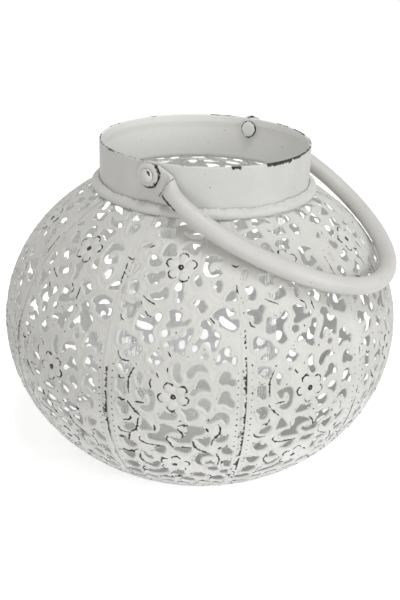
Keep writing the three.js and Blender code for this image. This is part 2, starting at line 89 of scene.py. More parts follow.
bpy.context.scene.camera = camera
bpy.context.scene.view_settings.view_transform = "Standard"


# A round white soft box, which is not seen through the glass
def lamp(name, place, target, size, power):
    data = bpy.data.lights.new(name, "AREA")
    data.shape = "DISK"
    data.size = size
    data.energy = power
    soft_box = bpy.data.objects.new(name, data)
    bpy.context.scene.collection.objects.link(soft_box)
    soft_box.location = place
    aim = Vector(target) - Vector(place)
    soft_box.rotation_euler = aim.to_track_quat("-Z", "Y").to_euler()
    soft_box.visible_transmission = False


lamp("right_soft_box", (1.25, -0.95, 0.4), (0, 0, 0.08), 0.7, 7.1)
lamp("low_front_soft_box", (0.0, -1.5, 0.12), (0, 0, 0.08), 0.8, 5.6)
lamp("high_soft_box", (0.1, -0.35, 1.4), (0, 0, 0.1), 0.5, 5.9)


# Puts a number, a colour or another node's output into a socket
def feed(tree, socket, value):
    if isinstance(value, bpy.types.NodeSocket):
        tree.links.new(value, socket)
    elif socket.type == "RGBA":
        socket.default_value = (*value, 1)
    else:
        socket.default_value = value


def set_up(tree, node, **sockets):
    for name, value in sockets.items():
        feed(tree, node.inputs[name.replace("_", " ")], value)
    return node


def add_node(tree, kind, **sockets):
    return set_up(tree, tree.nodes.new(kind), **sockets)


def reckoned(tree, operation, first, second):
    node = tree.nodes.new("ShaderNodeMath")
    node.operation = operation
    node.use_clamp = operation == "MAXIMUM"
    feed(tree, node.inputs[0], first)
    feed(tree, node.inputs[1], second)
    return node.outputs[0]


# Stretches what lies between low and high over a new range
def spread(tree, value, low, high, to_low=0.0, to_high=1.0):
    ends = {"From_Min": low, "From_Max": high, "To_Min": to_low, "To_Max": to_high}
    return add_node(tree, "ShaderNodeMapRange", Value=value, **ends).outputs["Result"]


# What the camera sees by itself, in a mirror or through glass
def seen_directly(tree):
    rays = tree.nodes.new("ShaderNodeLightPath").outputs
    seen = reckoned(tree, "MAXIMUM", rays["Is Camera Ray"], rays["Is Glossy Ray"])
    return reckoned(tree, "MAXIMUM", seen, rays["Is Transmission Ray"])


world = bpy.data.worlds.new("white_tent")
bpy.context.scene.world = world
world.use_nodes = True
tent = world.node_tree
tent.nodes.clear()
tent_light = add_node(tent, "ShaderNodeBackground", Color=(1, 0.985, 0.95), Strength=0.43)
tent_white = add_node(tent, "ShaderNodeBackground", Color=(1, 1, 1), Strength=1.0)
tent_mix = tent.nodes.new("ShaderNodeMixShader")
feed(tent, tent_mix.inputs[0], seen_directly(tent))
feed(tent, tent_mix.inputs[1], tent_light.outputs[0])
feed(tent, tent_mix.inputs[2], tent_white.outputs[0])
add_node(tent, "ShaderNodeOutputWorld", Surface=tent_mix.outputs[0])

# The floor's own white is added only as it is seen, and grows away from the lantern
GLOW_FROM = 0.12
GLOW_TO = 0.6
GLOW_NEAR = 0.56
GLOW_FAR = 0.68
floor_paper = bpy.data.materials.new("white_paper")
floor_paper.use_nodes = True
paper = floor_paper.node_tree
paper.nodes.clear()
paper_far = paper.nodes.new("ShaderNodeVectorMath")
paper_far.operation = "LENGTH"
feed(paper, paper_far.inputs[0], paper.nodes.new("ShaderNodeNewGeometry").outputs["Position"])
paper_fade = spread(paper, paper_far.outputs["Value"], GLOW_FROM, GLOW_TO, GLOW_NEAR, GLOW_FAR)
paper_white = reckoned(paper, "MULTIPLY", paper_fade, seen_directly(paper))
paper_sum = paper.nodes.new("ShaderNodeAddShader")
paper_diffuse = add_node(paper, "ShaderNodeBsdfDiffuse", Color=(0.92, 0.92, 0.92))
paper_glow = add_node(paper, "ShaderNodeEmission", Color=(1, 1, 1), Strength=paper_white)
feed(paper, paper_sum.inputs[0], paper_diffuse.outputs[0])
feed(paper, paper_sum.inputs[1], paper_glow.outputs[0])
add_node(paper, "ShaderNodeOutputMaterial", Surface=paper_sum.outputs[0])

FLOOR_HALF = 6.0
floor_mesh = bpy.data.meshes.new("floor")
floor_mesh.from_pydata(
    [(x * FLOOR_HALF, y * FLOOR_HALF, 0) for x, y in ((-1, -1), (1, -1), (1, 1), (-1, 1))],
    [],
    [(0, 1, 2, 3)],
)
floor_mesh.materials.append(floor_paper)
floor = bpy.data.objects.new("floor", floor_mesh)
bpy.context.scene.collection.objects.link(floor)

# Gores: ten blanks of pierced and embossed sheet steel, bent to the globe and seamed edge to
# edge, each overlapping the next. All are pressed with one pattern of leaves, scrolls and
# three flowers, then painted off-white and rubbed back on the raised lines to dark metal.
GLOBE_RADIUS = 110.0
BOWL_HEIGHT = 76.3
CROWN_HEIGHT = 77.0
FOOT_RADIUS = 63.6
NECK_RADIUS = 58.9
GORE_COUNT = 10
FIRST_SEAM = 12.0
SEAM_GAP = 0.3
PROFILE_POINTS = 3001

gore_angle = 2 * math.pi / GORE_COUNT
bowl_drop = BOWL_HEIGHT / math.sqrt(1 - (FOOT_RADIUS / GLOBE_RADIUS) ** 2)
crown_rise = CROWN_HEIGHT / math.sqrt(1 - (NECK_RADIUS / GLOBE_RADIUS) ** 2)
foot_turn = math.acos(FOOT_RADIUS / GLOBE_RADIUS)
neck_turn = math.acos(NECK_RADIUS / GLOBE_RADIUS)
turns = np.linspace(-foot_turn, neck_turn, PROFILE_POINTS)
rises = np.where(turns > 0, crown_rise, bowl_drop)
ring_radius = GLOBE_RADIUS * np.cos(turns)
ring_height = rises * np.sin(turns)
steps = np.hypot(np.diff(ring_radius), np.diff(ring_height))
ring_length = np.concatenate([[0], np.cumsum(steps)])
gore_length = ring_length[-1]
outward = np.stack([ring_radius / GLOBE_RADIUS**2, ring_height / rises**2], 1)
outward /= np.linalg.norm(outward, axis=1)[:, None]


def half_width(along):
    return (np.interp(along, ring_length, ring_radius) * gore_angle - SEAM_GAP) / 2


# Bends points of the flat blank (across, along, height over the outline) round the front
def bent(across, along, proud):
    radius = np.interp(along, ring_length, ring_radius)
    height = BOWL_HEIGHT + np.interp(along, ring_length, ring_height)
    out = np.interp(along, ring_length, outward[:, 0])
    lift = np.interp(along, ring_length, outward[:, 1])
    azimuth = across / radius
    far = radius + out * proud
    return np.stack([far * np.sin(azimuth), -far * np.cos(azimuth), height + lift * proud], 1)


# The pierced openings, each by the points its outline runs through: across the blank from its
# middle, and up from its foot
openings = [
    # near the neck
    [(-17.3, 182.6), (-16.5, 186), (-15.8, 189.2), (-11.6, 189.1), (-11.1, 186.5), (-11.6, 184), (-14, 184),
     (-15.8, 183.2)],
    [(-8, 184.6), (-6.8, 187.5), (-6.6, 189.1), (-2.4, 189.2), (0.2, 188), (1.7, 185.4), (0.5, 185.9),
     (-2, 186.6), (-3.6, 186), (-5, 185.2)],
    [(-14.4, 179.5), (-12.5, 181.2), (-9.3, 182.3), (-6.6, 183.2), (-6.5, 181.4), (-6.2, 178), (-8, 177.2),
     (-12, 176.8), (-13.8, 177.8)],
    [(6.9, 183.4), (7, 189), (9.5, 189.2), (12, 189), (14, 188.2), (14.8, 186), (14, 184.3), (11.5, 183.9),
     (8.5, 183.2)],
    [(-2, 181.8), (0.5, 180), (2.5, 180.8), (5, 181.6), (7.2, 182), (7.6, 180), (7.3, 177.8), (5, 177.6),
     (2, 177.8), (0, 178.8), (-1.5, 180.2)],
    [(12, 180.5), (13.5, 182), (16.5, 181.5), (17.4, 179), (16.3, 176.5), (15.3, 175), (13.3, 176.3),
     (12.5, 178.5)],
    [(-7.8, 173.8), (-5.4, 172.8), (-5, 169.5), (-4.6, 167.8), (-8, 167), (-10.8, 167), (-10.4, 169.5),
     (-9.3, 172)],
    [(-1.6, 171.5), (0.2, 174), (3, 174.8), (6.3, 174.4), (7, 173), (5.8, 171.5), (5.5, 169), (4.2, 168.6),
     (2, 170.2), (0.5, 170.7), (-0.8, 170.6)],
    [(-21.8, 170), (-19.8, 171.2), (-17.5, 172.6), (-17.8, 171.4), (-19.5, 170), (-21, 169.6)],
    [(-16.8, 163.5), (-15.8, 166.5), (-14.4, 166.2), (-13, 164.2), (-11.4, 163.5), (-11.6, 161.8),
     (-14, 160.8), (-16.3, 161)],
    [(17.9, 165.8), (16.5, 167), (13.5, 168.2), (10.4, 167.6), (10.2, 164), (9.8, 160), (11.5, 157.6),
     (14.5, 157), (17.5, 158), (18.4, 159), (17, 161.2), (16.3, 161.8), (15.2, 160), (13.5, 159.2),
     (12.2, 160), (12, 162), (12.6, 164.2), (14.5, 165.4), (16.5, 165.6)],
    [(-26, 159.8), (-24.6, 157), (-22.6, 160.4), (-21.8, 160), (-22.8, 157.5), (-24.8, 155),
     (-26.2, 156.5)],
    [(-17.3, 155), (-15.5, 156.5), (-12.7, 156.2), (-11, 158), (-9.2, 158.2), (-8.9, 156), (-10.5, 155.2),
     (-11.5, 153.5), (-11.8, 151.6), (-13.5, 152.8), (-15, 151.5), (-16.5, 153.6)],
    [(6.3, 156), (7.4, 157.8), (8.6, 156), (9.5, 153.2), (8.2, 152.2), (6.8, 153.5)],
    [(15.7, 151.5), (16.5, 153.5), (17, 155), (18.6, 154.8), (19.3, 152.5), (18.8, 149.6), (17.8, 149.3),
     (17, 151)],
    [(-25.6, 150.8), (-22, 151.6), (-21.2, 148.5), (-22.8, 145.2), (-25.4, 145.2), (-25, 148)],
    [(-14.6, 146.2), (-12, 146.6), (-9.5, 148), (-7.2, 150.2), (-6.2, 148), (-6.6, 145.6), (-9, 144.6),
     (-11.5, 143.9), (-13.8, 144.6)],
    [(-3.2, 151), (-1.5, 153), (0.6, 152.6), (0.5, 149.5), (1, 146.5), (0.2, 144), (-1, 143.9),
     (-0.8, 146.5), (-1.4, 149), (-2.6, 150)],
    [(21.8, 145), (23, 148), (24.8, 149.6), (26.8, 148.5), (27.6, 145.8), (26.5, 144.8), (24.5, 145.4)],
    [(6.4, 143.2), (7.8, 144.8), (10.8, 145), (11.8, 143.3), (13, 142.2), (12.6, 140.8), (11, 139.2),
     (9.6, 141), (8.2, 142.6)],
    [(16.4, 137.6), (18.3, 140.2), (20.8, 141.3), (24.2, 140.6), (26.4, 139.6), (26, 138.2), (24, 137.4),
     (24.4, 135.8), (26.5, 135.6), (28.8, 135.4), (28.7, 132), (26.5, 130.2), (24, 131.2), (21.5, 132.6),
     (19.9, 133), (19.6, 135.3), (18.4, 136.2)],
    [(-28.6, 138.5), (-27.8, 140.3), (-24.5, 139.8), (-22.5, 140), (-21, 141.5), (-19.4, 141.6),
     (-19.8, 139.2), (-21.3, 137), (-22, 134.8), (-24, 133.3), (-26.1, 133.8), (-25.2, 136), (-26, 137.4)],
    [(-18.5, 135.5), (-15.5, 134.3), (-12.5, 134.8), (-9.5, 137.5), (-8, 136.6), (-9, 134), (-11.5, 131.5),
     (-12.3, 128), (-11, 124.5), (-13.5, 122.6), (-16, 124), (-16.5, 128), (-19.5, 128), (-20.8, 129),
     (-20, 132)],
    [(-4.2, 139.2), (-1, 139.5), (1.2, 137.8), (0.6, 135.2), (2.8, 134.2), (5.6, 135.6), (4.6, 133.4),
     (1, 132.6), (-2.3, 131.6), (-4.8, 131.2), (-5.4, 132.6), (-3.6, 134.4), (-3.8, 136.5)],
    [(-7.2, 129), (-5.5, 130), (-3.8, 129.4), (-4, 127.5), (-6.4, 126.8)],
    [(10.7, 133.6), (12.5, 135.4), (15, 134.8), (15.8, 132.5), (16.5, 130.5), (19.5, 129.4), (20.5, 127.5),
     (19.8, 125), (18.4, 121.4), (17, 121.4), (14.8, 124), (13, 125), (11.6, 124.6), (10.3, 122),
     (9, 120.6), (7.8, 121.8), (9, 124), (11, 127), (12.4, 130.2), (12.2, 132)],
    [(3.6, 128), (5, 131), (7.2, 131.2), (7, 128.6), (5.8, 126.2), (4.6, 124), (3.8, 122), (3.8, 119.2),
     (1.9, 119), (0.2, 120.5), (-1.2, 119.6), (-0.6, 122.5), (-3, 122.7), (-5.2, 122.2), (-4.6, 124.2),
     (-2, 125.2), (0.5, 125.5), (1.5, 127)],
    # round the widest ring
    [(-28.3, 121), (-28, 125), (-26, 126.8), (-23.5, 125.2), (-21.6, 124.6), (-19.9, 124), (-18.8, 121.3),
     (-16.8, 119.8), (-17.6, 117.6), (-20.5, 115.6), (-25.4, 115.2), (-25.6, 116.6), (-22.6, 118.5),
     (-22.6, 120.6), (-24.4, 121.4), (-26.8, 120.6)],
    [(-12.7, 115.2), (-11.2, 117), (-10.1, 118.9), (-8.4, 117.2), (-6.1, 115.8), (-7, 114.4), (-8.4, 113.1),
     (-10.8, 113.2), (-12, 114)],
    [(-27.7, 109.5), (-27.2, 111.8), (-22.4, 111.6), (-21.4, 110), (-22.3, 107.5), (-24.2, 106.5),
     (-26, 108)],
    [(-28.2, 99), (-28, 102.3), (-24.5, 102.2), (-24.3, 99.5), (-24, 96), (-25.5, 95.4), (-27, 97),
     (-28.4, 97.5)],
    [(12.4, 118.3), (13.8, 119.6), (15.3, 118.4), (13.9, 117.1)],
    [(19.5, 114.8), (20.6, 119), (21.2, 121.5), (23.5, 122.3), (25.8, 121.6), (25.4, 119.2), (27, 117.6),
     (28.8, 117.9), (28.9, 114.8), (27.8, 114), (26.5, 115.6), (24, 115.8), (21.8, 115.2), (20.2, 114.2)],
    [(21.6, 106.5), (22.6, 109.5), (24.4, 110.8), (26.4, 109.8), (26.6, 107.2), (28.6, 106.8),
     (29.5, 104.6), (28, 103.8), (25.5, 105), (23, 104.6)],
    [(21.6, 94.6), (22.4, 97.5), (23.2, 100.2), (24.8, 101), (26.6, 100), (27, 97.2), (28.9, 95.6),
     (29, 92.8), (27.8, 92.5), (25.6, 94.2), (23.4, 94.8)],
    [(6, 110), (7.5, 112.6), (9.8, 113.9), (12.8, 113.9), (14.6, 112.4), (15.2, 111.2), (13.4, 111.3),
     (11.2, 111.6), (9.6, 110.4), (8.2, 108.3), (6.8, 107.8)],
    [(0.2, 113.8), (1.6, 114.2), (2.2, 112.8), (2, 109.8), (3.4, 106.2), (2.4, 104.9), (0.8, 106),
     (-0.4, 108.5), (-0.6, 111)],
    [(-11.9, 109.3), (-11.2, 110), (-10.5, 109.3), (-11.2, 108.6)],
    [(-18.3, 104.5), (-17.6, 108), (-15.8, 106.5), (-16.4, 104), (-17.3, 102)],
    [(8.2, 99), (9.2, 101.6), (11, 103.4), (12, 106.2), (13.8, 106.9), (15.6, 105.2), (17.3, 101.4),
     (14.5, 101.6), (11.8, 101), (9.6, 98.9)],
    [(-18, 98.4), (-16, 99.2), (-13, 100), (-10.8, 99.6), (-9.6, 97), (-9.8, 92.5), (-10.6, 89.6),
     (-13.2, 88), (-16.3, 89.8), (-14.6, 90.8), (-12.2, 91.4), (-11.2, 94), (-11.8, 96.8), (-13.6, 97.8),
     (-14.8, 96.8), (-15.3, 94.8), (-16.6, 95.4), (-17.2, 97)],
    [(12, 94.2), (13, 96.6), (15, 97.3), (17.2, 95.6), (17.4, 92.4), (16.4, 90.2), (15.2, 92), (13.6, 93)],
    [(-28, 90.4), (-25.5, 91), (-23, 90), (-22.7, 86.5), (-23.8, 84.2), (-26, 84.6), (-26.5, 87.5),
     (-28, 88.6)],
    [(-6.9, 84.9), (-5.4, 87.4), (-4.2, 88.8), (-3, 88.2), (-0.6, 87.8), (1.7, 87.9), (0.6, 85.4),
     (-3, 84.6)],
    [(3.9, 91.2), (6, 90.6), (9, 91.8), (11.4, 90), (11.4, 87), (9.6, 85.2), (7, 84.8), (6.6, 87),
     (5.4, 89.2)],
    [(16.6, 83.8), (18.8, 86), (20.6, 88.4), (23, 89.5), (25.6, 88.6), (26.8, 86), (26, 83), (25.2, 84.4),
     (23.6, 86.2), (21.4, 85.6), (18.6, 84)],
    # below it
    [(-16.2, 76.2), (-15.6, 80), (-14.6, 82.8), (-12.4, 80.6), (-10.7, 77.6), (-12.4, 76.9), (-14.6, 76.4)],
    [(-25.2, 75.6), (-23.4, 77.8), (-20.6, 79.4), (-19.6, 78), (-20.6, 75.8), (-22.8, 74.6)],
    [(-6.2, 81.2), (-2, 80.6), (2.6, 77.6), (0.5, 77.4), (-2, 76.6), (-4.4, 74.8), (-4.4, 72), (-3, 70),
     (-8, 70), (-12, 70.6), (-12.8, 73), (-11.6, 74.4), (-8.4, 74.6), (-6.8, 76.4), (-6, 79)],
    [(6.8, 81), (10, 81.2), (14.6, 80.4), (15, 78), (13.4, 76.4), (10.4, 75.4), (8.6, 73), (8, 70.4),
     (3.5, 70), (0.8, 71), (-1, 73.6), (1.6, 72.8), (3.8, 72.4), (5.6, 73.8), (6.8, 76.4), (7.4, 78.5)],
    [(12.5, 73.4), (15, 73), (17.8, 74.6), (17.6, 71), (16, 68), (14.4, 69.4), (12.8, 71)],
    [(21.4, 71.4), (22.6, 74), (25, 75.2), (26.8, 74.6), (25.6, 72.4), (23.4, 71)],
    [(-25.6, 66.8), (-24, 68.4), (-22.6, 66.6), (-20, 65.6), (-18.8, 64.6), (-20.5, 62.6), (-23, 62.2),
     (-25, 64.2)],
    [(-9.6, 62), (-7, 64.8), (-4.4, 66), (-4.4, 62.6), (-6.5, 60.2)],
    [(0, 64.4), (2.4, 66), (8.3, 66), (7.4, 63.6), (5.8, 62.2), (3, 63)],
    [(24.4, 62.4), (24.4, 66), (26, 67.2), (27.8, 65.6), (29.2, 62.6), (28, 61), (25.8, 61.4)],
    [(10.8, 55), (11.4, 59.5), (13.6, 61.8), (16.6, 62.2), (19.4, 60.6), (16.4, 60), (14, 59), (12.9, 56),
     (13.2, 53.2), (14.6, 51.6), (12.4, 51.4)],
    [(15.8, 52.2), (16.4, 54.4), (18, 55.1), (19.6, 53.8), (19.9, 51.8), (18.6, 52.6), (17.2, 52.8)],
    [(-27.6, 57.4), (-25, 56.4), (-21, 56.8), (-20.8, 54), (-22.6, 50.6), (-25.4, 53)],
    [(-15.4, 59.8), (-13.4, 57.4), (-10.8, 55.4), (-12, 53.8), (-14.4, 54.8)],
    [(25.4, 49.6), (25.2, 55.4), (27, 55.4), (29.3, 53.8), (29.2, 49.6), (27.4, 49.2)],
    [(-14.6, 47.6), (-11, 48.4), (-9, 50.4), (-7.6, 51.6), (-8.2, 48.6), (-9.6, 45.6), (-11.8, 44.8)],
    [(-25.4, 43.6), (-24.2, 47.2), (-20.6, 47), (-19, 43.4), (-21.4, 39.4), (-24.6, 40.4)],
    [(-15.8, 38), (-12.6, 40.6), (-8.6, 42.6), (-4.8, 44.6), (-3.6, 42), (-6.4, 38.6), (-10.4, 36.6),
     (-14, 36.2)],
    [(-1, 38.6), (0.2, 42.4), (2.4, 43.6), (4.4, 41.6), (3.4, 38.8), (1.2, 37.4)],
    [(17, 46.2), (17.6, 49.4), (20.4, 49.8), (21.6, 46.8), (19.6, 44.6)],
    [(23.4, 41), (23.8, 45.4), (28.2, 45.2), (28, 41)],
    [(9.2, 37.4), (9.8, 41.8), (13.2, 42.4), (14.8, 39.8), (13.8, 36.6), (11.2, 35.8)],
    [(-24.6, 32.6), (-23.4, 37.4), (-19.8, 36.8), (-18.4, 32), (-21.6, 29.8)],
    [(-15.8, 28.4), (-14.8, 32.6), (-11.2, 32.2), (-10.6, 27.4), (-13.2, 25.8)],
    [(-7.4, 32.6), (-4.2, 34.2), (-1.4, 32.8), (-2.6, 30), (-6.2, 29.8)],
    [(3.2, 29.6), (4.6, 34.2), (8.4, 33.6), (8.8, 29.2), (6, 27.4)],
    [(18.6, 30.6), (19.2, 35.8), (23.4, 36.6), (24, 31.6), (21.2, 29.2)],
    [(12, 25.6), (13, 29.8), (16, 29), (15.8, 24.6)],
    [(-22, 21.8), (-21, 27.2), (-18.2, 27.4), (-17.4, 22.6), (-19.6, 19.8)],
    [(-7.8, 22.4), (-6.8, 27), (-3.2, 27.4), (-2.4, 23.8), (-4.6, 20.6)],
    [(0.6, 20), (1.6, 25), (5, 24.8), (5.6, 20.4), (3, 17.8)],
    [(18.6, 20.8), (19, 26.2), (22, 25.6), (21.6, 21)],
    [(9.4, 17.4), (10, 22.4), (13.4, 22), (13.2, 17)],
    [(-13.6, 17), (-13.4, 22.4), (-10.2, 22.6), (-9.8, 17.8)],
    [(-18.4, 12), (-18, 16.8), (-15.8, 16.4), (-15.6, 12)],
    [(-6.6, 12.4), (-6.2, 17.4), (-2.4, 17.2), (-2, 12.6)],
    [(4.8, 9.6), (5.2, 14.6), (8.4, 14.2), (8.2, 9.2)],
    [(15.4, 12.2), (16, 17.6), (18.6, 17), (18.2, 12.4)],
    [(-12.2, 8.2), (-11.8, 13.2), (-9, 13), (-8.8, 8)],
    [(-1, 5.8), (-0.6, 9.8), (2.2, 9.6), (2.2, 5.4)],
    [(11.4, 7), (11.8, 12), (13.8, 11.6), (13.4, 6.8)],
]

# Flowers: middle across and along, then the way each petal points, in degrees
flowers = [
    ((-0.9, 161.2), (82, 19, -72, -134, 160)),
    ((0.1, 97.6), (118, 42, -20, -98, -171)),
    ((0.2, 51.4), (82, 14, -55, -143, 148)),
]

# Raised lines of the scrolls and stems, rubbed back to dark metal
scroll_lines = [
    [(24.7, 159.4), (25.6, 155.6), (26.3, 151.3)],
    [(25.6, 155.6), (27.5, 153.4)],
    [(23.3, 162.7), (25.1, 161.9), (26.5, 162.4)],
    [(26.3, 152.4), (26.9, 149.9), (27.6, 148.4)],
    [(-17.3, 170), (-15.3, 171.7)],
    [(-17.6, 144.7), (-15.3, 143.1), (-11.7, 141.4)],
    [(-18.4, 141.7), (-17.8, 139.5)],
    [(-15.9, 137.4), (-14.6, 135.9), (-13.1, 135.4)],
    [(-28.3, 134.2), (-27.8, 132.4), (-26.4, 131.7)],
    [(-21.1, 143.4), (-20, 142.6), (-17.1, 138.8), (-13.9, 137.2)],
    [(6.5, 141.3), (7.1, 135.9)],
    [(15.4, 136.4), (16.4, 135.4), (17.4, 133.9)],
    [(7.7, 133.4), (9.7, 131.3)],
    [(0.4, 141.7), (2.9, 139.5), (2.5, 137)],
    [(-28.2, 116.6), (-27.6, 114.6), (-25.6, 113), (-22.3, 113.1)],
    [(-27.6, 105.5), (-26.6, 103.9), (-24.6, 104.2)],
    [(-19.7, 109.8), (-21.1, 107.1), (-22.1, 104.9), (-22.3, 99.9), (-22.1, 97.1)],
    [(-3.5, 119.9), (-2.1, 117.8)],
    [(-8.5, 108.9), (-7.6, 107.2)],
    [(-3.3, 111.7), (-3.2, 110)],
    [(-11, 105.6), (-11.7, 103.5), (-10.9, 101.2)],
    [(-18.5, 92.6), (-14.6, 93)],
    [(-27.6, 93.5), (-25.3, 92.4), (-24.2, 92.8)],
    [(-22.4, 92.1), (-20.6, 89.6), (-18.5, 87.1), (-16.4, 85.3)],
    [(-21.1, 83.7), (-21.7, 81.7), (-24.2, 81)],
    [(-17.3, 82.8), (-17.8, 79.2), (-18.6, 76.3), (-21.4, 73.4), (-22.1, 71.4), (-22.4, 68.6),
     (-21.6, 66.4)],
    [(-28.1, 75.7), (-27.3, 73.9), (-24.9, 73), (-21.7, 73.2)],
    [(-27.6, 68.9), (-25.3, 69.8)],
    [(-9.2, 79.9), (-8.9, 77.1)],
    [(2.2, 79.7), (4, 77.8), (4.9, 75.3), (4.4, 74.2)],
    [(2.6, 81.4), (4.7, 82.1), (7.2, 82.2)],
    [(16.1, 80.6), (17.2, 78.5)],
    [(22.2, 82.8), (22.9, 81), (22.7, 77.4), (21.1, 75.3), (19.4, 73.2), (18.8, 69.9)],
    [(-2.8, 74.6), (-3, 72.1), (-1.8, 70.3), (-1, 67.8), (-0.3, 67.2)],
    [(-16.4, 71.7), (-17.1, 69.9), (-15.6, 68.2), (-13.9, 67.4), (-11, 66.9), (-7.4, 66.9), (-3.9, 67.2)],
    [(2.6, 67.3), (8.6, 67.3)],
    [(9.7, 72.4), (10.1, 69.2), (11.5, 66.7), (14, 64.9), (16.9, 63.4)],
    [(23.6, 67.8), (22, 66.4)],
    [(-26.5, 58.7), (-22, 58.5), (-18.5, 61)],
    [(-17, 58), (-17.5, 54), (-16, 50.6), (-14.5, 49.4)],
    [(-6.8, 57), (-4.5, 56.8)],
    [(27.4, 41), (27, 37)],
    [(21.6, 52.4), (22.6, 57.6), (21.2, 62.4)],
    [(-4.4, 33.4), (-1.2, 36), (3.4, 37.4)],
    [(14.4, 41), (17.4, 39.4), (18, 36.4)],
    [(-16.6, 38.6), (-17, 42.4), (-15.4, 45)],
]
# and those that keep their paint
painted_lines = [
    [(17.4, 104.4), (16.9, 110), (17.2, 115.6), (18.2, 117.4), (18.8, 120.4)],
    [(16.9, 110.4), (17.8, 107.4), (19.4, 103.4), (20.2, 100.6)],
    [(16.8, 115.6), (13.4, 115.6), (10.6, 116.6)],
    [(-3, 176), (-1, 175.6), (0.6, 176.2)],
    [(-14.6, 175.6), (-12.4, 174.6), (-11, 172.4)],
    [(10.4, 181), (9.4, 178.4), (9.8, 175.4), (12, 172.6)],
    [(9.6, 170.6), (12, 170.8), (15, 170.6), (17.4, 168.4)],
    [(-20.4, 167.2), (-18.8, 163.6), (-18.9, 159.8), (-19.8, 157.2)],
    [(-20.4, 155.2), (-19, 152), (-19, 148.4)],
    [(3.4, 151.6), (3.2, 147.4), (3.6, 144.6), (5, 141.8)],
    [(12.6, 152.2), (13.6, 148.2), (16.2, 145.2), (19.2, 143.8)],
    [(8.8, 149.8), (11, 149), (12.4, 150.6)],
    [(-6.2, 142.4), (-3.2, 142), (-0.6, 141.8)],
    [(-14.4, 119.4), (-14, 115.6), (-14.6, 111.8), (-13.6, 108.6)],
    [(-6.4, 122.2), (-5, 118.6), (-3.6, 116.2)],
    [(4.8, 116.4), (7.2, 116.2), (9.2, 118.2)],
    [(5, 104), (7, 105.4), (9.4, 108.4)],
    [(-9.2, 86.6), (-8.6, 89.8), (-7.2, 91.2)],
    [(13.2, 88), (14.2, 85.6), (13.6, 83.2)],
    [(19.2, 100.4), (19.6, 97), (20, 93.4), (22.2, 91.4)],
    [(-18.4, 70.4), (-18.8, 72.8), (-17.8, 74.6)],
    [(19.2, 82), (20.2, 79.2), (19.4, 76.6)],
    [(-11.6, 64.8), (-11.8, 61.6), (-9.6, 58.6)],
    [(9.4, 63.8), (9, 60.4), (8.8, 57.4)],
    [(21.6, 68.4), (22.4, 65), (22, 61.6)],
    [(-3.4, 44), (-2.6, 41.4), (-3.4, 37)],
    [(4.6, 43.4), (6.6, 40.4), (7, 36.4)],
    [(11.4, 47.6), (13.4, 45.4), (15.6, 44.6)],
    [(-18.4, 35.6), (-14.8, 34.6), (-11.6, 33.2)],
    [(17.6, 32.8), (15.4, 31.4), (12.4, 31.8)],
]
worn_dots = [
    (-0.3, 129), (2.4, 148.1), (-8.1, 120.8), (-7.9, 118.9), (13.8, 121.5), (-13.4, 102), (3.6, 84.4),
    (6.2, 118.2), (-18.6, 112), (20.6, 92), (7.4, 46), (-19.4, 48.6),
]


# A smooth closed or open run through points, in short steps
def smooth_run(points, step, closed):
    path = np.array(points, float)
    ends = (path[-1:], path[:2]) if closed else (2 * path[:1] - path[1:2], 2 * path[-1:] - path[-2:-1])
    padded = np.concatenate([ends[0], path, ends[1]])
    run = []
    for before, here, there, beyond in zip(padded, padded[1:], padded[2:], padded[3:]):
        count = max(1, round(np.linalg.norm(there - here) / step))
        for i in range(count):
            t = i / count
            tangents = (-before + there) * t + (2 * before - 5 * here + 4 * there - beyond) * t**2
            run.append(here + 0.5 * (tangents + (-before + 3 * here - 3 * there + beyond) * t**3))
    if not closed:
        run.append(path[-1])
    return np.array(run)


# Unit vectors square to a closed outline, outwards where it runs anticlockwise
def square_to(outline):
    way = np.roll(outline, -1, axis=0) - np.roll(outline, 1, axis=0)
    way /= np.linalg.norm(way, axis=1)[:, None]
    return np.stack([way[:, 1], -way[:, 0]], 1)


def runs_anticlockwise(outline):
    following = np.roll(outline, -1, axis=0)
    return np.sum(outline[:, 0] * following[:, 1] - following[:, 0] * outline[:, 1]) > 0


def smoothed(lines, step):
    return [smooth_run(line, step, False) for line in lines]


# The openings keep clear of the seams, and a little less so near the neck
SEAM_BORDER = 3.1
NECK_BORDER = 2.1
RIM_STEP = 0.7
RIM_WIDEN = 0.22
SCROLL_STEP = 0.55

rims = []
for outline in openings:
    rim = smooth_run(outline, RIM_STEP, True)
    rim += square_to(rim) * (RIM_WIDEN if runs_anticlockwise(rim) else -RIM_WIDEN)
    limit = half_width(rim[:, 1]) - np.interp(rim[:, 1], [112, 130], [SEAM_BORDER, NECK_BORDER])
    rim[:, 0] = np.clip(rim[:, 0], -limit, limit)
    rims.append(rim if runs_anticlockwise(rim) else rim[::-1])
rubbed_scrolls = smoothed(scroll_lines, SCROLL_STEP)
scrolls = rubbed_scrolls + smoothed(painted_lines, SCROLL_STEP)

# The blank: one side has a flap that slips under the next gore
OVERLAP = 1.7
FLAP = 1.0
END_POINTS = 39
side_along = np.linspace(0, gore_length, round(gore_length / RIM_STEP) + 1)
side_across = half_width(side_along)
end_across = np.linspace(-1, 1, END_POINTS + 2)[1:-1]
blank = np.concatenate(
    [
        np.stack([end_across * side_across[0], np.zeros(END_POINTS)], 1),
        np.stack([side_across + FLAP, side_along], 1),
        np.stack([-end_across * side_across[-1], np.full(END_POINTS, gore_length)], 1),
        np.stack([-side_across, side_along], 1)[::-1],
    ]
)

flat_points = []
flat_edges = []
flat_faces = []


def lay_loop(loop):
    first = len(flat_points)
    flat_points.extend(loop)
    flat_faces.append(list(range(first, first + len(loop))))


def lay_line(line):
    first = len(flat_points)
    flat_points.extend(line)
    flat_edges.extend((first + i, first + i + 1) for i in range(len(line) - 1))


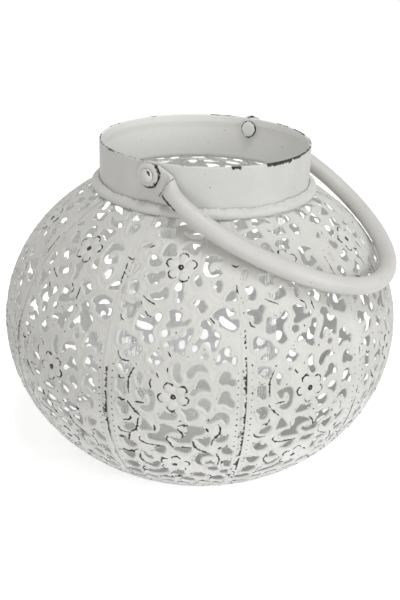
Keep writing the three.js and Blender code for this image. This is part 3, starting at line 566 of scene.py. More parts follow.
lay_loop(blank)
for rim in rims:
    lay_loop(rim)
overlap_along = side_along[2:-2]
for inset in (0.5 - FLAP, 0.05, OVERLAP - 0.3, OVERLAP):
    lay_line(np.stack([half_width(overlap_along) - inset, overlap_along], 1))
lay_line(np.stack([0.5 - half_width(overlap_along), overlap_along], 1))
for line in scrolls:
    lay_line(line)

# Raised dots: a row of beads along each seam, and single ones in the pattern
DOT_FROM_SEAM = 3.3
DOT_PITCH = 3.5
DOT_RADIUS = 0.8
DOTS_FROM_FOOT = 5.0
DOTS_FROM_NECK = 4.0
beads = []
for along in np.arange(DOTS_FROM_FOOT, gore_length - DOTS_FROM_NECK, DOT_PITCH):
    across = half_width(along) - min(DOT_FROM_SEAM, 0.042 * half_width(along) * 2 + 0.6)
    beads += [(across, along), (-across, along)]
dots = np.array(beads + worn_dots)

# Loose points: beside the raised lines, round the openings and dots, over the flowers, and a
# grid between them. One that comes too near a line, a seam or an earlier point is left out.
SCROLL_HALF = 0.5
RIM_RINGS = (0.55, 1.15, 1.8)
GRID_STEP = 1.0
FINE_STEP = 0.52
FLOWER_REACH = 8.2
CLEAR_OF_LINES = 0.3
CLEAR_OF_POINTS = 0.34
CELL = 0.4
fixed = kdtree.KDTree(len(flat_points))
for i, point in enumerate(flat_points):
    fixed.insert((point[0], point[1], 0), i)
fixed.balance()
loose = []
for line in scrolls:
    tangent = np.gradient(line, axis=0)
    tangent /= np.linalg.norm(tangent, axis=1)[:, None]
    across = np.stack([-tangent[:, 1], tangent[:, 0]], 1) * SCROLL_HALF
    loose.extend(line + across)
    loose.extend(line - across)
for rim in rims:
    for away in RIM_RINGS:
        loose.extend(rim + square_to(rim) * away)
for dot in dots:
    loose.append(dot)
    for i in range(6):
        angle = math.pi / 3 * (i + 0.5)
        loose.append(dot + DOT_RADIUS * np.array((math.cos(angle), math.sin(angle))))
for (across, along), _ in flowers:
    count = round(FLOWER_REACH / FINE_STEP)
    for row in range(-count, count + 1):
        for column in range(-count, count + 1):
            offset = np.array((column + 0.5 * (row % 2), row * 0.87)) * FINE_STEP
            if np.hypot(*offset) < FLOWER_REACH:
                loose.append(np.array((across, along)) + offset)
for row in range(1, round(gore_length / GRID_STEP)):
    along = row * GRID_STEP
    columns = int(half_width(along) / GRID_STEP)
    for column in range(-columns, columns + 1):
        loose.append(np.array(((column + 0.5 * (row % 2)) * GRID_STEP, along)))
taken = {}
for point in loose:
    _, _, gap = fixed.find((point[0], point[1], 0))
    if gap < CLEAR_OF_LINES or abs(point[0]) > half_width(point[1]) - CLEAR_OF_LINES:
        continue
    column, row = round(point[0] / CELL), round(point[1] / CELL)
    cells = [(column + a, row + b) for a in (-1, 0, 1) for b in (-1, 0, 1)]
    if any(np.hypot(*(point - taken[cell])) < CLEAR_OF_POINTS for cell in cells if cell in taken):
        continue
    taken[column, row] = point
flat_points.extend(taken.values())

# The sheet is what the blank alone covers, and none of the openings
cut_points, _, cut_faces, _, _, cut_from = delaunay_2d_cdt(
    [Vector(p) for p in flat_points], flat_edges, flat_faces, 0, 1e-5, True
)
webs = [face for face, sources in zip(cut_faces, cut_from) if list(sources) == [0]]
used = sorted({v for face in webs for v in face})
renumbered = {old: new for new, old in enumerate(used)}
sheet = np.array([tuple(v) for v in cut_points])[used]
webs = [tuple(renumbered[v] for v in face) for face in webs]

# The relief pressed into the blank: how proud of the outline each point stands, and how far it
# is rubbed, from 0 to 1
SHEET_FACE = -0.46
FIELD_DROP = 0.12
RIM_DROP = 0.3
RIM_ROUNDING = 0.5
BAND_HEIGHT = 0.4
BAND_MIDDLE = 0.95
BAND_WIDTH = 0.62
GROOVE_DEPTH = 0.12
GROOVE_MIDDLE = 1.95
GROOVE_WIDTH = 0.45
LINE_HEIGHT = 0.2
LINE_REACH = 0.9
PETAL_HEIGHT = 0.42
PETAL_OUT = 4.85
PETAL_LONG = 2.75
PETAL_WIDE = 2.25
BUTTON_HEIGHT = 0.34
BUTTON_RADIUS = 1.6
HIGHEST = -0.1
BURIED = -9
INNER_FACE = -1.25
FLAP_UNDER = -0.5
STROKE_STEP = 0.12


def nearest(points, samples):
    tree = kdtree.KDTree(len(samples))
    for i, sample in enumerate(samples):
        tree.insert((sample[0], sample[1], 0), i)
    tree.balance()
    found = [tree.find((p[0], p[1], 0)) for p in points]
    return np.array([f[2] for f in found]), np.array([f[1] for f in found])


def unit(value):
    return np.clip(value, 0, 1)


def swell(distance, width):
    return np.exp(-((distance / width) ** 2))


up_seam = sheet[:, 1]
inset = half_width(up_seam) - sheet[:, 0]
inset_left = half_width(up_seam) + sheet[:, 0]
from_rim, rim_index = nearest(sheet, np.concatenate(rims))
from_line, _ = nearest(sheet, np.concatenate(smoothed(scrolls, STROKE_STEP)))
from_dot, dot_index = nearest(sheet, dots)
strokes = smoothed(rubbed_scrolls, STROKE_STEP)
from_rubbed, stroke_index = nearest(sheet, np.concatenate(strokes))
stroke_number = np.repeat(np.arange(len(strokes)), [len(stroke) for stroke in strokes])[stroke_index]
tapers = [np.sin(np.linspace(0.12, math.pi - 0.12, len(stroke))) ** 0.7 for stroke in strokes]
taper = np.concatenate(tapers)[stroke_index]

# A lip round each opening with a groove beyond it, raised lines and dots, and the step of the
# seam, which is lower towards the neck
proud = SHEET_FACE - RIM_DROP * swell(from_rim, RIM_ROUNDING) - FIELD_DROP
band_fade = np.interp(up_seam, [0, 80, 115, 190], [1.1, 1.0, 0.65, 0.6])
proud += band_fade * BAND_HEIGHT * swell(from_rim - BAND_MIDDLE, BAND_WIDTH)
groove = swell(from_rim - GROOVE_MIDDLE, GROOVE_WIDTH)
proud -= GROOVE_DEPTH * groove * band_fade
proud += LINE_HEIGHT * unit(1 - (from_line / LINE_REACH) ** 2)
seam_step = np.interp(up_seam, [0, 108, 132, 190], [1, 1, 0.2, 0.1])
proud += (0.08 + 0.22 * seam_step) * unit(1 - (from_dot / DOT_RADIUS) ** 2)
proud = np.where(inset < OVERLAP - 0.15, SHEET_FACE - 0.04 + 0.24 * seam_step, proud)
proud -= (0.1 + 0.16 * seam_step) * swell(inset_left, 1.5)

# Dots and strokes are rubbed along their tops
bead_wear = np.interp(up_seam, [0, 106, 124, 190], [0.95, 0.9, 0.3, 0.15])
rubbed = unit(1 - from_dot / 0.75) * np.where(dot_index < len(beads), bead_wear, 0.95)
stroke_width = np.interp(up_seam, [0, 95, 120, 190], [0.5, 0.42, 0.2, 0.15])
stroke_wear = unit(1.05 - from_rubbed / (0.42 + stroke_width * taper))

# The seam is rubbed hard from the widest ring down, and in places above it
SEAM_STATIONS = [0, 8, 18, 34, 46, 108, 120, 150, 163, 190]
seam_wear = np.interp(up_seam, SEAM_STATIONS, [0.9, 0.75, 0.4, 0.5, 0.95, 0.92, 0.2, 0.42, 0.2, 0])
seam_wear *= 0.74 + 0.34 * np.sin(up_seam / 4.1) * np.sin(up_seam / 1.7 + 1)
seam_reach = 1.5 + 0.7 * np.sin(up_seam / 2.3) * np.sin(up_seam / 5.9 + 2)
rubbed = np.maximum(rubbed, unit(1.15 - (inset + FLAP) / seam_reach) * seam_wear)
from_seam = np.minimum(np.abs(inset), np.abs(inset_left))
speckled = np.interp(up_seam, [12, 24, 108, 122], [0, 0.2, 0.2, 0])
rubbed = np.maximum(rubbed, speckled * swell(from_seam, 3.2))

# Each opening's upper left edge, and the crest beyond its lip on that side, are rubbed to dark metal,
# mostly low down: wear, and painted shade along that side
rim_upper = np.concatenate([square_to(rim) for rim in rims])[rim_index] @ np.array((-0.5, 0.87))
rim_wear_and_shade = np.interp(up_seam, [0, 20, 82, 100, 190], [0.6, 0.7, 0.45, 0.25, 0.2])
rubbed = np.maximum(rubbed, unit(1.1 - from_rim / 0.9) * rim_wear_and_shade * unit(0.45 + 0.6 * rim_upper))
crest_wear_and_shade = np.interp(up_seam, [0, 20, 74, 92, 190], [0.75, 0.82, 0.5, 0.25, 0.12])
crest = unit(1 - np.abs(from_rim - 1.15) / 0.6) * unit(0.35 + 0.75 * rim_upper)
rubbed = np.maximum(rubbed, crest * crest_wear_and_shade)

# Flowers: egg-shaped petals, rubbed along their outer ends, round a button
for (across, along), ways in flowers:
    away = sheet - np.array((across, along))
    far = np.hypot(away[:, 0], away[:, 1])
    for way in ways:
        angle = math.radians(way)
        reach = away @ np.array((math.cos(angle), math.sin(angle))) - PETAL_OUT
        side = away @ np.array((-math.sin(angle), math.cos(angle)))
        petal_half = PETAL_WIDE + 0.09 * np.clip(reach, -PETAL_LONG, PETAL_LONG)
        egg = np.hypot(reach / PETAL_LONG, side / petal_half)
        dome = PETAL_HEIGHT * unit(1 - egg**2) ** 0.65
        proud = np.maximum(proud, np.where(egg < 1, SHEET_FACE + dome, BURIED))
        rubbed = np.maximum(rubbed, unit(1 - np.abs(egg - 1) * 2.5 / 0.62) * unit((reach + 0.3) / 1.3))
    button = SHEET_FACE + BUTTON_HEIGHT * (1 - (far / BUTTON_RADIUS) ** 2)
    proud = np.maximum(proud, np.where(far < BUTTON_RADIUS, button, BURIED))
    rubbed = np.maximum(rubbed, unit(1.25 - np.abs(far - 0.8) / 0.85))
proud = np.minimum(proud, HIGHEST)
inner = np.where(inset < 0.1, FLAP_UNDER, INNER_FACE)

# Outside, inside, and the cut edges between them
count = len(sheet)
web_edges = dict.fromkeys((a, b) for face in webs for a, b in zip(face, face[1:] + face[:1]))
gore_points = np.concatenate([bent(*sheet.T, proud), bent(*sheet.T, inner)])
gore_faces = list(webs)
gore_faces += [tuple(v + count for v in reversed(face)) for face in webs]
gore_faces += [(b, a, a + count, b + count) for a, b in web_edges if (b, a) not in web_edges]
gore_lined = np.ones(len(gore_faces), int)
gore_lined[: len(webs)] = 0

# Painted shade lies in the grooves and against the openings. Outside, the paint is made paler low
# down, and inside paler towards the neck: painted light.
hollow = np.maximum(swell(from_rim, 0.7), groove * 0.6)
painted_light = np.interp(up_seam, [0, 20, 50, 72, 95], [1.0, 1.0, 0.62, 0.4, 0.0])
gore_hollow = np.concatenate([hollow, np.zeros(count)])
gore_painted_light = np.concatenate([painted_light, np.interp(up_seam, [30, 105], [0, 1])])

# No two gores are worn alike: on each, other strokes and other lengths of the seam have kept
# their paint. The front one follows the photograph.
FRONT_GORE = 10
KEPT_IN_FRONT = [0, 1, 9, 10, 12, 13]


def worn_gore(number):
    worn_strokes = 0.62 + 0.45 * np.sin(stroke_number * 2.4 + number * 1.7)
    seam_side = 0.25 * np.sin(up_seam / 11 + number * 2.1) - 0.05
    if number == FRONT_GORE:
        worn_strokes = np.where(np.isin(stroke_number, KEPT_IN_FRONT), 0, 1)
        seam_side = np.interp(up_seam, [36, 44, 108, 114, 131, 136], [0, 0.14, 0.14, 0.3, 0.3, 0])
    wear = np.maximum(rubbed, stroke_wear * unit(worn_strokes))
    seam_side *= unit(1 - inset / 4)
    return np.concatenate([unit(wear + seam_side * (wear > 0.12)), np.zeros(count)])


def painted_on(tree, layer):
    node = tree.nodes.new("ShaderNodeAttribute")
    node.attribute_name = layer
    return node.outputs["Fac"]


def tinted(tree, amount, under, over):
    node = tree.nodes.new("ShaderNodeMix")
    node.data_type = "RGBA"
    return set_up(tree, node, Factor=amount, A=under, B=over).outputs["Result"]


# Off-white satin paint over sheet steel. It is a little uneven and cloudy, with dirt and painted
# shade in the hollows, painted light where marked, dark metal where it is rubbed, and a few specks.
# White laid on as painted light, then the colours of bare metal
LIT_WHITE = (0.92, 0.92, 0.92)
DARK_METAL = (0.007, 0.0065, 0.0065)
DULL_METAL = (0.04, 0.037, 0.035)


def worn_paint(name, colour, shade, grime_and_shade, roughness, lumps, wear_level=0.42, swirls=0, lit_white=LIT_WHITE):
    material = bpy.data.materials.new(name)
    material.use_nodes = True
    tree = material.node_tree
    place = tree.nodes.new("ShaderNodeTexCoord").outputs["Object"]

    def cloud(scale, detail, rough=0.5):
        sizes = {"Scale": scale, "Detail": detail, "Roughness": rough}
        return add_node(tree, "ShaderNodeTexNoise", Vector=place, **sizes).outputs["Fac"]

    def bump(height, distance, strength=1.0, **under):
        sizes = {"Height": height, "Distance": distance * MM, "Strength": strength}
        return add_node(tree, "ShaderNodeBump", **sizes, **under)

    # where the paint is gone: rubbed places with a ragged edge, and specks
    ragged = spread(tree, cloud(620, 4, 0.65), 0.3, 0.7, -0.42, 0.42)
    rubbing = reckoned(tree, "ADD", painted_on(tree, "rubbed"), ragged)
    bare = spread(tree, rubbing, wear_level, wear_level + 0.16)
    chipped = reckoned(tree, "MAXIMUM", bare, spread(tree, cloud(800, 2), 0.74, 0.77))

    # the marked hollows darken towards the grime colour: dirt round worn places, painted shade in creases
    dirt_and_shade = spread(tree, cloud(70, 3), 0.3, 0.7, 0.35, 1.0)
    dirt_and_shade = reckoned(tree, "MULTIPLY", painted_on(tree, "hollow"), dirt_and_shade)
    tone = tinted(tree, spread(tree, cloud(38, 3), 0.35, 0.68), colour, shade)
    # whiter where painted light is marked
    tone = tinted(tree, painted_on(tree, "painted_light"), tone, lit_white)
    tone = tinted(tree, reckoned(tree, "MULTIPLY", dirt_and_shade, 0.6), tone, grime_and_shade)
    metal = tinted(tree, spread(tree, cloud(900, 2), 0.35, 0.65), DARK_METAL, DULL_METAL)

    # pressed swirls, the sheet's own unevenness, the peel of the paint and the step of a chip
    under = {}
    if swirls:
        pressed = add_node(tree, "ShaderNodeTexNoise", Vector=place, Scale=95, Detail=1, Distortion=1.5)
        pressed.noise_type = "RIDGED_MULTIFRACTAL"
        under["Normal"] = bump(pressed.outputs["Fac"], swirls).outputs["Normal"]
    uneven = bump(cloud(120, 2), lumps, **under)
    peel = bump(cloud(1500, 2), 0.04, 0.8, Normal=uneven.outputs["Normal"])
    flaked = bump(chipped, 0.06, Normal=peel.outputs["Normal"])
    flaked.invert = True
    set_up(
        tree,
        tree.nodes["Principled BSDF"],
        Base_Color=tinted(tree, chipped, tone, metal),
        Roughness=spread(tree, cloud(240, 3), 0.3, 0.7, roughness - 0.07, roughness + 0.09),
        Specular_IOR_Level=0.32,
        Normal=flaked.outputs["Normal"],
    )
    return material


gore_paint = worn_paint(
    "worn_gore_paint",
    (0.675, 0.674, 0.652),
    (0.625, 0.624, 0.602),
    (0.52, 0.512, 0.485),
    roughness=0.5,
    lumps=0.25,
    swirls=0.12,
)
# The inside paint is a lighter, cooler copy of the outside paint: painted light inside the globe and collar
lit_lining_paint = worn_paint(
    "lit_lining_paint",
    (0.742, 0.757, 0.772),
    (0.702, 0.717, 0.732),
    (0.67, 0.682, 0.69),
    roughness=0.5,
    lumps=0.2,
    lit_white=(0.92, 0.92, 0.9),
)


# Faces marked in lined are the inside of the sheet, which takes the lighter, cooler inside paint: painted
# light
def sheet_piece(name, points, faces, material, layers, crease=50, lined=None):
    mesh = bpy.data.meshes.new(name)
    mesh.from_pydata(np.asarray(points) * MM, [], faces)
    for layer, values in layers.items():
        mesh.attributes.new(layer, "FLOAT", "POINT").data.foreach_set("value", values)
    mesh.shade_smooth()
    mesh.set_sharp_from_angle(angle=math.radians(crease))
    mesh.materials.append(material)
    if lined is not None:
        mesh.materials.append(lit_lining_paint)
        mesh.polygons.foreach_set("material_index", lined)
    piece = bpy.data.objects.new(name, mesh)
    bpy.context.scene.collection.objects.link(piece)
    return piece


def spun(points, angle):
    turn = np.array(
        [[math.cos(angle), -math.sin(angle), 0], [math.sin(angle), math.cos(angle), 0], [0, 0, 1]]
    )
    return np.asarray(points) @ turn.T


for number in range(1, GORE_COUNT + 1):
    middle = math.radians(FIRST_SEAM) + gore_angle * (number - 0.5)
    gore = sheet_piece(
        f"pressed_gore_{number:02d}",
        spun(gore_points, middle),
        gore_faces,
        gore_paint,
        {"rubbed": worn_gore(number), "hollow": gore_hollow, "painted_light": gore_painted_light},
        lined=gore_lined,
    )
    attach(gore, "lantern")
    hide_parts(f"gore_{number:02d}")

# Neck ring: a rolled bead of the same sheet that hides the top edges of the gores and locks
# the collar. Paint has worn off along the creases above and below it.
COLLAR_RADIUS = 56.7
RING_FOOT = 153.6
RING_SIDES = 900
RING_NEAR = COLLAR_RADIUS + SEAM_GAP
RING_FAR = NECK_RADIUS + 1.5


# Points of a profile, by their steps out and up from a radius and a height
def stepped(radius, height, *steps):
    return [(radius + out, height + up) for out, up in steps]


# A piece turned round the lantern's axis, from a profile of radius and height
def turned_ring(profile, sides):
    points = []
    rows = []
    for i in range(sides):
        angle = i * 2 * math.pi / sides
        row = []
        for j, (radius, height) in enumerate(profile):
            if radius == 0 and rows:
                row.append(rows[0][j])
                continue
            row.append(len(points))
            points.append((radius * math.sin(angle), -radius * math.cos(angle), height))
        rows.append(row)
    faces = []
    for here, there in zip(rows, rows[1:] + rows[:1]):
        for j in range(len(profile)):
            k = (j + 1) % len(profile)
            corners = tuple(dict.fromkeys((here[j], there[j], there[k], here[k])))
            if len(corners) > 2:
                faces.append(corners)
    return np.array(points), faces


ring_profile = stepped(RING_NEAR, RING_FOOT, (0, -0.6))
ring_profile += stepped(RING_FAR, RING_FOOT, (-0.4, -1.1), (0.2, -0.9), (0.55, -0.3), (0.7, 0.5))
ring_profile += stepped(RING_FAR, RING_FOOT, (0.6, 1.3), (0.3, 2.0), (-0.3, 2.6), (-1.1, 3.1), (-1.9, 3.45))
ring_profile += stepped(RING_NEAR, RING_FOOT, (1.0, 3.7), (0.5, 3.85), (0.15, 3.8), (-0.1, 3.6))
ring_profile += stepped(RING_NEAR, RING_FOOT, (-0.25, 3.2))
ring_points, ring_faces = turned_ring(ring_profile, RING_SIDES)
ring_azimuth = np.arctan2(ring_points[:, 0], -ring_points[:, 1])
ring_away = np.hypot(ring_points[:, 0], ring_points[:, 1])
ring_up = ring_points[:, 2] - RING_FOOT
# the crimped edge against the collar wanders a little, up and down
long_waves = np.sin(ring_azimuth * 9 + 0.5 * np.sin(ring_azimuth * 5))
short_waves = np.sin(ring_azimuth * 97 + 2 * np.sin(ring_azimuth * 13))
wander = 0.3 * long_waves + 0.2 * np.sin(ring_azimuth * 23 + 1)
wander += 0.16 * np.sin(ring_azimuth * 51 + 2) + 0.14 * short_waves
wander += 0.08 * np.sin(ring_azimuth * 171)
ring_points[:, 2] += wander * unit((ring_up - 2.6) / 1.0)
crimp_wear = np.clip(0.3 + 0.25 * np.sin(ring_azimuth * 19 + 1) * np.sin(ring_azimuth * 7), 0.15, 1)
ring_rubbed = unit(1 - np.hypot(ring_away - RING_NEAR, ring_up - 3.75) / 0.55) * crimp_wear
ring_rubbed = np.maximum(ring_rubbed, unit(1 - np.abs(ring_up + 0.7) / 0.7) * 0.42)
trim_paint = worn_paint(
    "worn_collar_paint",
    (0.652, 0.652, 0.636),
    (0.602, 0.602, 0.586),
    (0.46, 0.45, 0.42),
    roughness=0.46,
    lumps=0.35,
)
# The bead's lower edge against the gores is darkened as painted shade
neck_ring = sheet_piece(
    "rolled_neck_bead",
    ring_points,
    ring_faces,
    trim_paint,
    {"rubbed": ring_rubbed, "hollow": unit(0.2 - ring_up) * 0.6},
)
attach(neck_ring, "lantern")
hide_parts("neck_ring")

# Collar: a plain band of sheet with its rim folded inwards into a narrow hem. The fold is
# chipped here and there down to dark metal.
COLLAR_SHEET = 0.9
COLLAR_TOP = 178.4
HEM_HEIGHT = 4.0
RIM_FOLD = 0.7
COLLAR_SIDES = 720
collar_inside = COLLAR_RADIUS - COLLAR_SHEET
hem_face = collar_inside - COLLAR_SHEET

# The outline, from the crimped foot up the outside, over the fold and down the hem and inside
hem_radius = COLLAR_RADIUS - 2 * RIM_FOLD
hem_end = COLLAR_TOP - HEM_HEIGHT
collar_heights = [*np.linspace(RING_FOOT + 1.2, COLLAR_TOP - 3, 16)]
collar_heights += [*np.arange(COLLAR_TOP - 2.6, COLLAR_TOP - 0.7, 0.3)]
collar_profile = stepped(COLLAR_RADIUS, RING_FOOT, (1.6, -0.9), (0.7, -0.2), (0.15, 0.6))
collar_profile += [(COLLAR_RADIUS, height) for height in collar_heights]
for i in range(13):
    angle = math.pi * i / 12
    fold_radius = COLLAR_RADIUS - RIM_FOLD + RIM_FOLD * math.cos(angle)
    collar_profile.append((fold_radius, COLLAR_TOP - RIM_FOLD * (1 - math.sin(angle))))
collar_profile += [(hem_radius, height) for height in np.linspace(COLLAR_TOP - 1.2, hem_end + 0.2, 6)]
for height in np.linspace(hem_end - 0.2, hem_end - 3.2, 5):
    collar_profile.append((hem_radius + 0.5 * (hem_end - height) / 3.4, height))
collar_profile += [(collar_inside, height) for height in np.linspace(hem_end - 4, RING_FOOT + 1.2, 16)]
collar_profile += stepped(collar_inside, RING_FOOT, (0.15, 0.5), (0.7, -0.3), (1.5, -0.9), (2.3, -1.3))
fold_top = next(i for i, (_, height) in enumerate(collar_profile) if height > COLLAR_TOP - 0.01)
collar_points, collar_faces = turned_ring(collar_profile, COLLAR_SIDES)

# Chips of the rim: from and to which azimuth, how far down the outside and how deeply rubbed
rim_chips = [
    (33, 51, 1.5, 1.1), (51, 60, 1.0, 1.0), (60, 80, 0.6, 0.68), (13.5, 18.5, 1.3, 1.05),
    (-92, -62, 0.4, 0.52), (-62, -54, 0.8, 0.72), (-54, -36, 0.35, 0.48), (-36, -28, 0.4, 0.56),
    (-12, -4, 0.35, 0.5), (5, 9, 0.3, 0.5), (84, 97, 0.4, 0.5), (103, 118, 0.6, 0.85),
    (123, 134, 0.45, 0.7), (152, 156, 0.5, 0.75), (162, 178, 0.5, 0.85), (-150, -144, 0.4, 0.6),
    (-120, -108, 0.4, 0.55),
]
collar_azimuth = np.degrees(np.arctan2(collar_points[:, 0], -collar_points[:, 1]))
collar_away = np.hypot(collar_points[:, 0], collar_points[:, 1])
below_rim = COLLAR_TOP - collar_points[:, 2]
collar_within = collar_away < COLLAR_RADIUS - RIM_FOLD
inside_reach = np.where(collar_within, unit(1 - below_rim / 0.8), 1)
collar_rubbed = np.zeros(len(collar_points))
for start, stop, deep, strength in rim_chips:
    half = (stop - start) / 2
    around = np.abs((collar_azimuth - start - half + 180) % 360 - 180)
    chip = unit((half - around) / 2.0 + 0.5) * unit(1.3 - below_rim / deep / 1.25)
    collar_rubbed = np.maximum(collar_rubbed, chip * inside_reach * strength)
# A painted shadow line under the hem's lower edge, inside the collar, on one stretch of the far side
hem_shows = unit(1 - np.abs(collar_azimuth - 118) / 30) * collar_within
hem_shadow_line = swell(below_rim - HEM_HEIGHT, 0.3) * hem_shows * 0.6
# Round the crease above the bead: a little wear outside, and painted shade
crease_wear_and_shade = swell(collar_points[:, 2] - RING_FOOT - 3.9, 0.5)
collar = sheet_piece(
    "hemmed_collar",
    collar_points,
    collar_faces,
    trim_paint,
    {
        "rubbed": np.maximum(collar_rubbed, crease_wear_and_shade * np.where(collar_within, 0.0, 0.12)),
        "hollow": np.maximum(hem_shadow_line, crease_wear_and_shade * 0.3),
        # the inside of the collar takes painted light
        "painted_light": collar_within.astype(float),
    },
    lined=np.tile([0] * fold_top + [1] * (len(collar_profile) - fold_top), COLLAR_SIDES),
)
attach(collar, "lantern")
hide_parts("collar")

# Base: a dished pan with a flat floor, whose lip laps inside the feet of the gores. It shows
# only through the lowest openings and from below.
BASE_SHEET = 1.2
BASE_LIP = 9.0
LIP_GAP = 1.3
BASE_SIDES = 160


# The globe's outline at a length up from its foot, and at a depth inside it
def outline_at(along, depth):
    radius = np.interp(along, ring_length, ring_radius)
    height = BOWL_HEIGHT + np.interp(along, ring_length, ring_height)
    out, lift = (np.interp(along, ring_length, outward[:, i]) for i in (0, 1))
    return radius - depth * out, height - depth * lift


lip = [outline_at(along, LIP_GAP) for along in np.linspace(0, BASE_LIP, 8)]
lip_inside = [outline_at(along, LIP_GAP + BASE_SHEET) for along in np.linspace(BASE_LIP, 0, 8)]
foot_radius, foot_height = lip[0]
pan_profile = [(0, 0), (20, 0), (45, 0), *stepped(foot_radius - foot_height, 0, (-0.6, 0), (0.2, 0.25))]
pan_profile += lip + lip_inside[:-1]
pan_profile += [(radius, BASE_SHEET) for radius in (lip_inside[-1][0] - BASE_SHEET, 45, 20, 0)]
pan_points, pan_faces = turned_ring(pan_profile, BASE_SIDES)
# Its paint is a plain grey, darkened all over towards its grime colour: painted shade for the inside of the
# globe
shaded_pan_paint = worn_paint(
    "shaded_base_paint", (0.75, 0.75, 0.73), (0.71, 0.71, 0.69), (0.6, 0.6, 0.58), roughness=0.55, lumps=0.3
)
base_pan = sheet_piece(
    "dished_base",
    pan_points,
    pan_faces,
    shaded_pan_paint,
    {"rubbed": np.zeros(len(pan_points)), "hollow": np.full(len(pan_points), 0.5)},
)
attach(base_pan, "lantern")
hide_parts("base_pan")

# Handle: one round steel tube bent to a wide bow, flattened at each end into an ear that is
# creased where the tube begins. It swings on the rivets and rests on the globe.
PIVOT_HEIGHT = 172.4
PIVOT_AZIMUTH = math.radians(-27.4)
RESTING_DROP = math.radians(26.422)
TUBE_RADIUS = 4.6
EAR_HALF_WIDTH = 6.88
EAR_THICKNESS = 2.4
EAR_LENGTH = 11.0
FLARE_LENGTH = 9.0
EAR_MIDDLE = 58.2
HANDLE_REACH = 116.9
SHOULDER_WIDEN = 22.3
SHOULDER_REACH = 22.8
CROWN_HALF_WIDTH = 53.0


def bow_curve(p0, p1, p2, p3, count):
    t = np.linspace(0, 1, count)[:, None]
    p0, p1, p2, p3 = (np.array(p, float) for p in (p0, p1, p2, p3))
    return p0 * (1 - t) ** 3 + 3 * p1 * t * (1 - t) ** 2 + 3 * p2 * t**2 * (1 - t) + p3 * t**3


back_half = bow_curve(
    (EAR_LENGTH, EAR_MIDDLE),
    (EAR_LENGTH + SHOULDER_REACH, EAR_MIDDLE + SHOULDER_WIDEN),
    (HANDLE_REACH, CROWN_HALF_WIDTH),
    (HANDLE_REACH, 0),
    400,
)
back_ear = np.stack([np.linspace(-EAR_HALF_WIDTH, EAR_LENGTH, 60)[:-1], np.full(59, EAR_MIDDLE)], 1)
bow = np.concatenate([back_ear, back_half])
bow = np.concatenate([bow, (bow * (1, -1))[::-1][1:]])
bow_lengths = np.concatenate([[0], np.cumsum(np.linalg.norm(np.diff(bow, axis=0), axis=1))])
bow_length = bow_lengths[-1]


def bow_at(length):
    return np.array([np.interp(length, bow_lengths, bow[:, i]) for i in (0, 1)])


# A flat ear with a rounded nose flares into the round tube. The stations are lengths along the
# bow, and lie closest together at the nose.
HANDLE_SIDES = 36
flare_end = EAR_HALF_WIDTH + EAR_LENGTH + FLARE_LENGTH
flare_start = EAR_HALF_WIDTH + EAR_LENGTH - FLARE_LENGTH / 3
ear_stations = [0.01, 0.12, 0.4, 0.9, 1.6, 2.5, 3.6, 4.8, 6.0, 7.2, *np.arange(8.5, flare_end, 0.6)]
stations = ear_stations + list(np.linspace(flare_end, bow_length - flare_end, 150))
stations += [bow_length - at for at in reversed(ear_stations)]
handle_points = []
handle_turns = []
for at in stations:
    centre = bow_at(at)
    heading = bow_at(at + 0.4) - bow_at(at - 0.4)
    heading /= np.linalg.norm(heading)
    from_end = min(at, bow_length - at)
    flare = unit((from_end - flare_start) / (flare_end - flare_start))
    flare = flare * flare * (3 - 2 * flare)
    into_nose = max(EAR_HALF_WIDTH - from_end, 0)
    nose = math.sqrt(max(EAR_HALF_WIDTH**2 - into_nose**2, 0.01))
    half_wide = min(EAR_HALF_WIDTH + (TUBE_RADIUS - EAR_HALF_WIDTH) * flare, nose)
    half_thick = EAR_THICKNESS / 2 + (TUBE_RADIUS - EAR_THICKNESS / 2) * flare
    half_thick *= min(1, 0.55 + from_end / 2)
    corner = 0.35 + 0.65 * flare
    for i in range(HANDLE_SIDES):
        turn = 2 * math.pi * (i + 0.5) / HANDLE_SIDES
        c, s = math.cos(turn), math.sin(turn)
        handle_turns.append((c, s))
        aside = math.copysign(abs(c) ** corner, c) * half_thick
        rise = math.copysign(abs(s) ** corner, s) * half_wide
        handle_points.append((centre[0] - heading[1] * aside, centre[1] + heading[0] * aside, rise))
handle_faces = []
for i in range(len(stations) - 1):
    for j in range(HANDLE_SIDES):
        k = (j + 1) % HANDLE_SIDES
        a, b = i * HANDLE_SIDES, (i + 1) * HANDLE_SIDES
        handle_faces.append((a + j, a + k, b + k, b + j))
last = (len(stations) - 1) * HANDLE_SIDES
handle_faces.append(tuple(reversed(range(HANDLE_SIDES))))
handle_faces.append(tuple(last + j for j in range(HANDLE_SIDES)))


# From the pivot line's own axes (reach, across, up) to the lantern's
def from_pivots(points, drop):
    points = np.asarray(points, float)
    reach = points[:, 0] * math.cos(drop) + points[:, 2] * math.sin(drop)
    height = points[:, 2] * math.cos(drop) - points[:, 0] * math.sin(drop)
    placed = spun(np.stack([reach, points[:, 1], height], 1), PIVOT_AZIMUTH)
    placed[:, 2] += PIVOT_HEIGHT
    return placed


handle_paint = worn_paint(
    "satin_handle_paint",
    (0.628, 0.625, 0.606),
    (0.588, 0.585, 0.566),
    (0.45, 0.44, 0.41),
    roughness=0.4,
    lumps=0.5,
    wear_level=0.45,
)
# Worn metal and dirt round the washer, mostly towards the tube
reach, across, rise = np.array(handle_points).T
outside = np.abs(across) > EAR_MIDDLE
way_round = np.arctan2(rise, reach)
lee = unit(0.85 + 0.75 * np.cos(way_round + 0.4)) * (1 - 0.9 * swell(way_round + 0.08, 0.1))
handle_rubbed = unit(1.5 - np.abs(np.hypot(reach, rise) - 6.35) / 0.5) * lee * outside
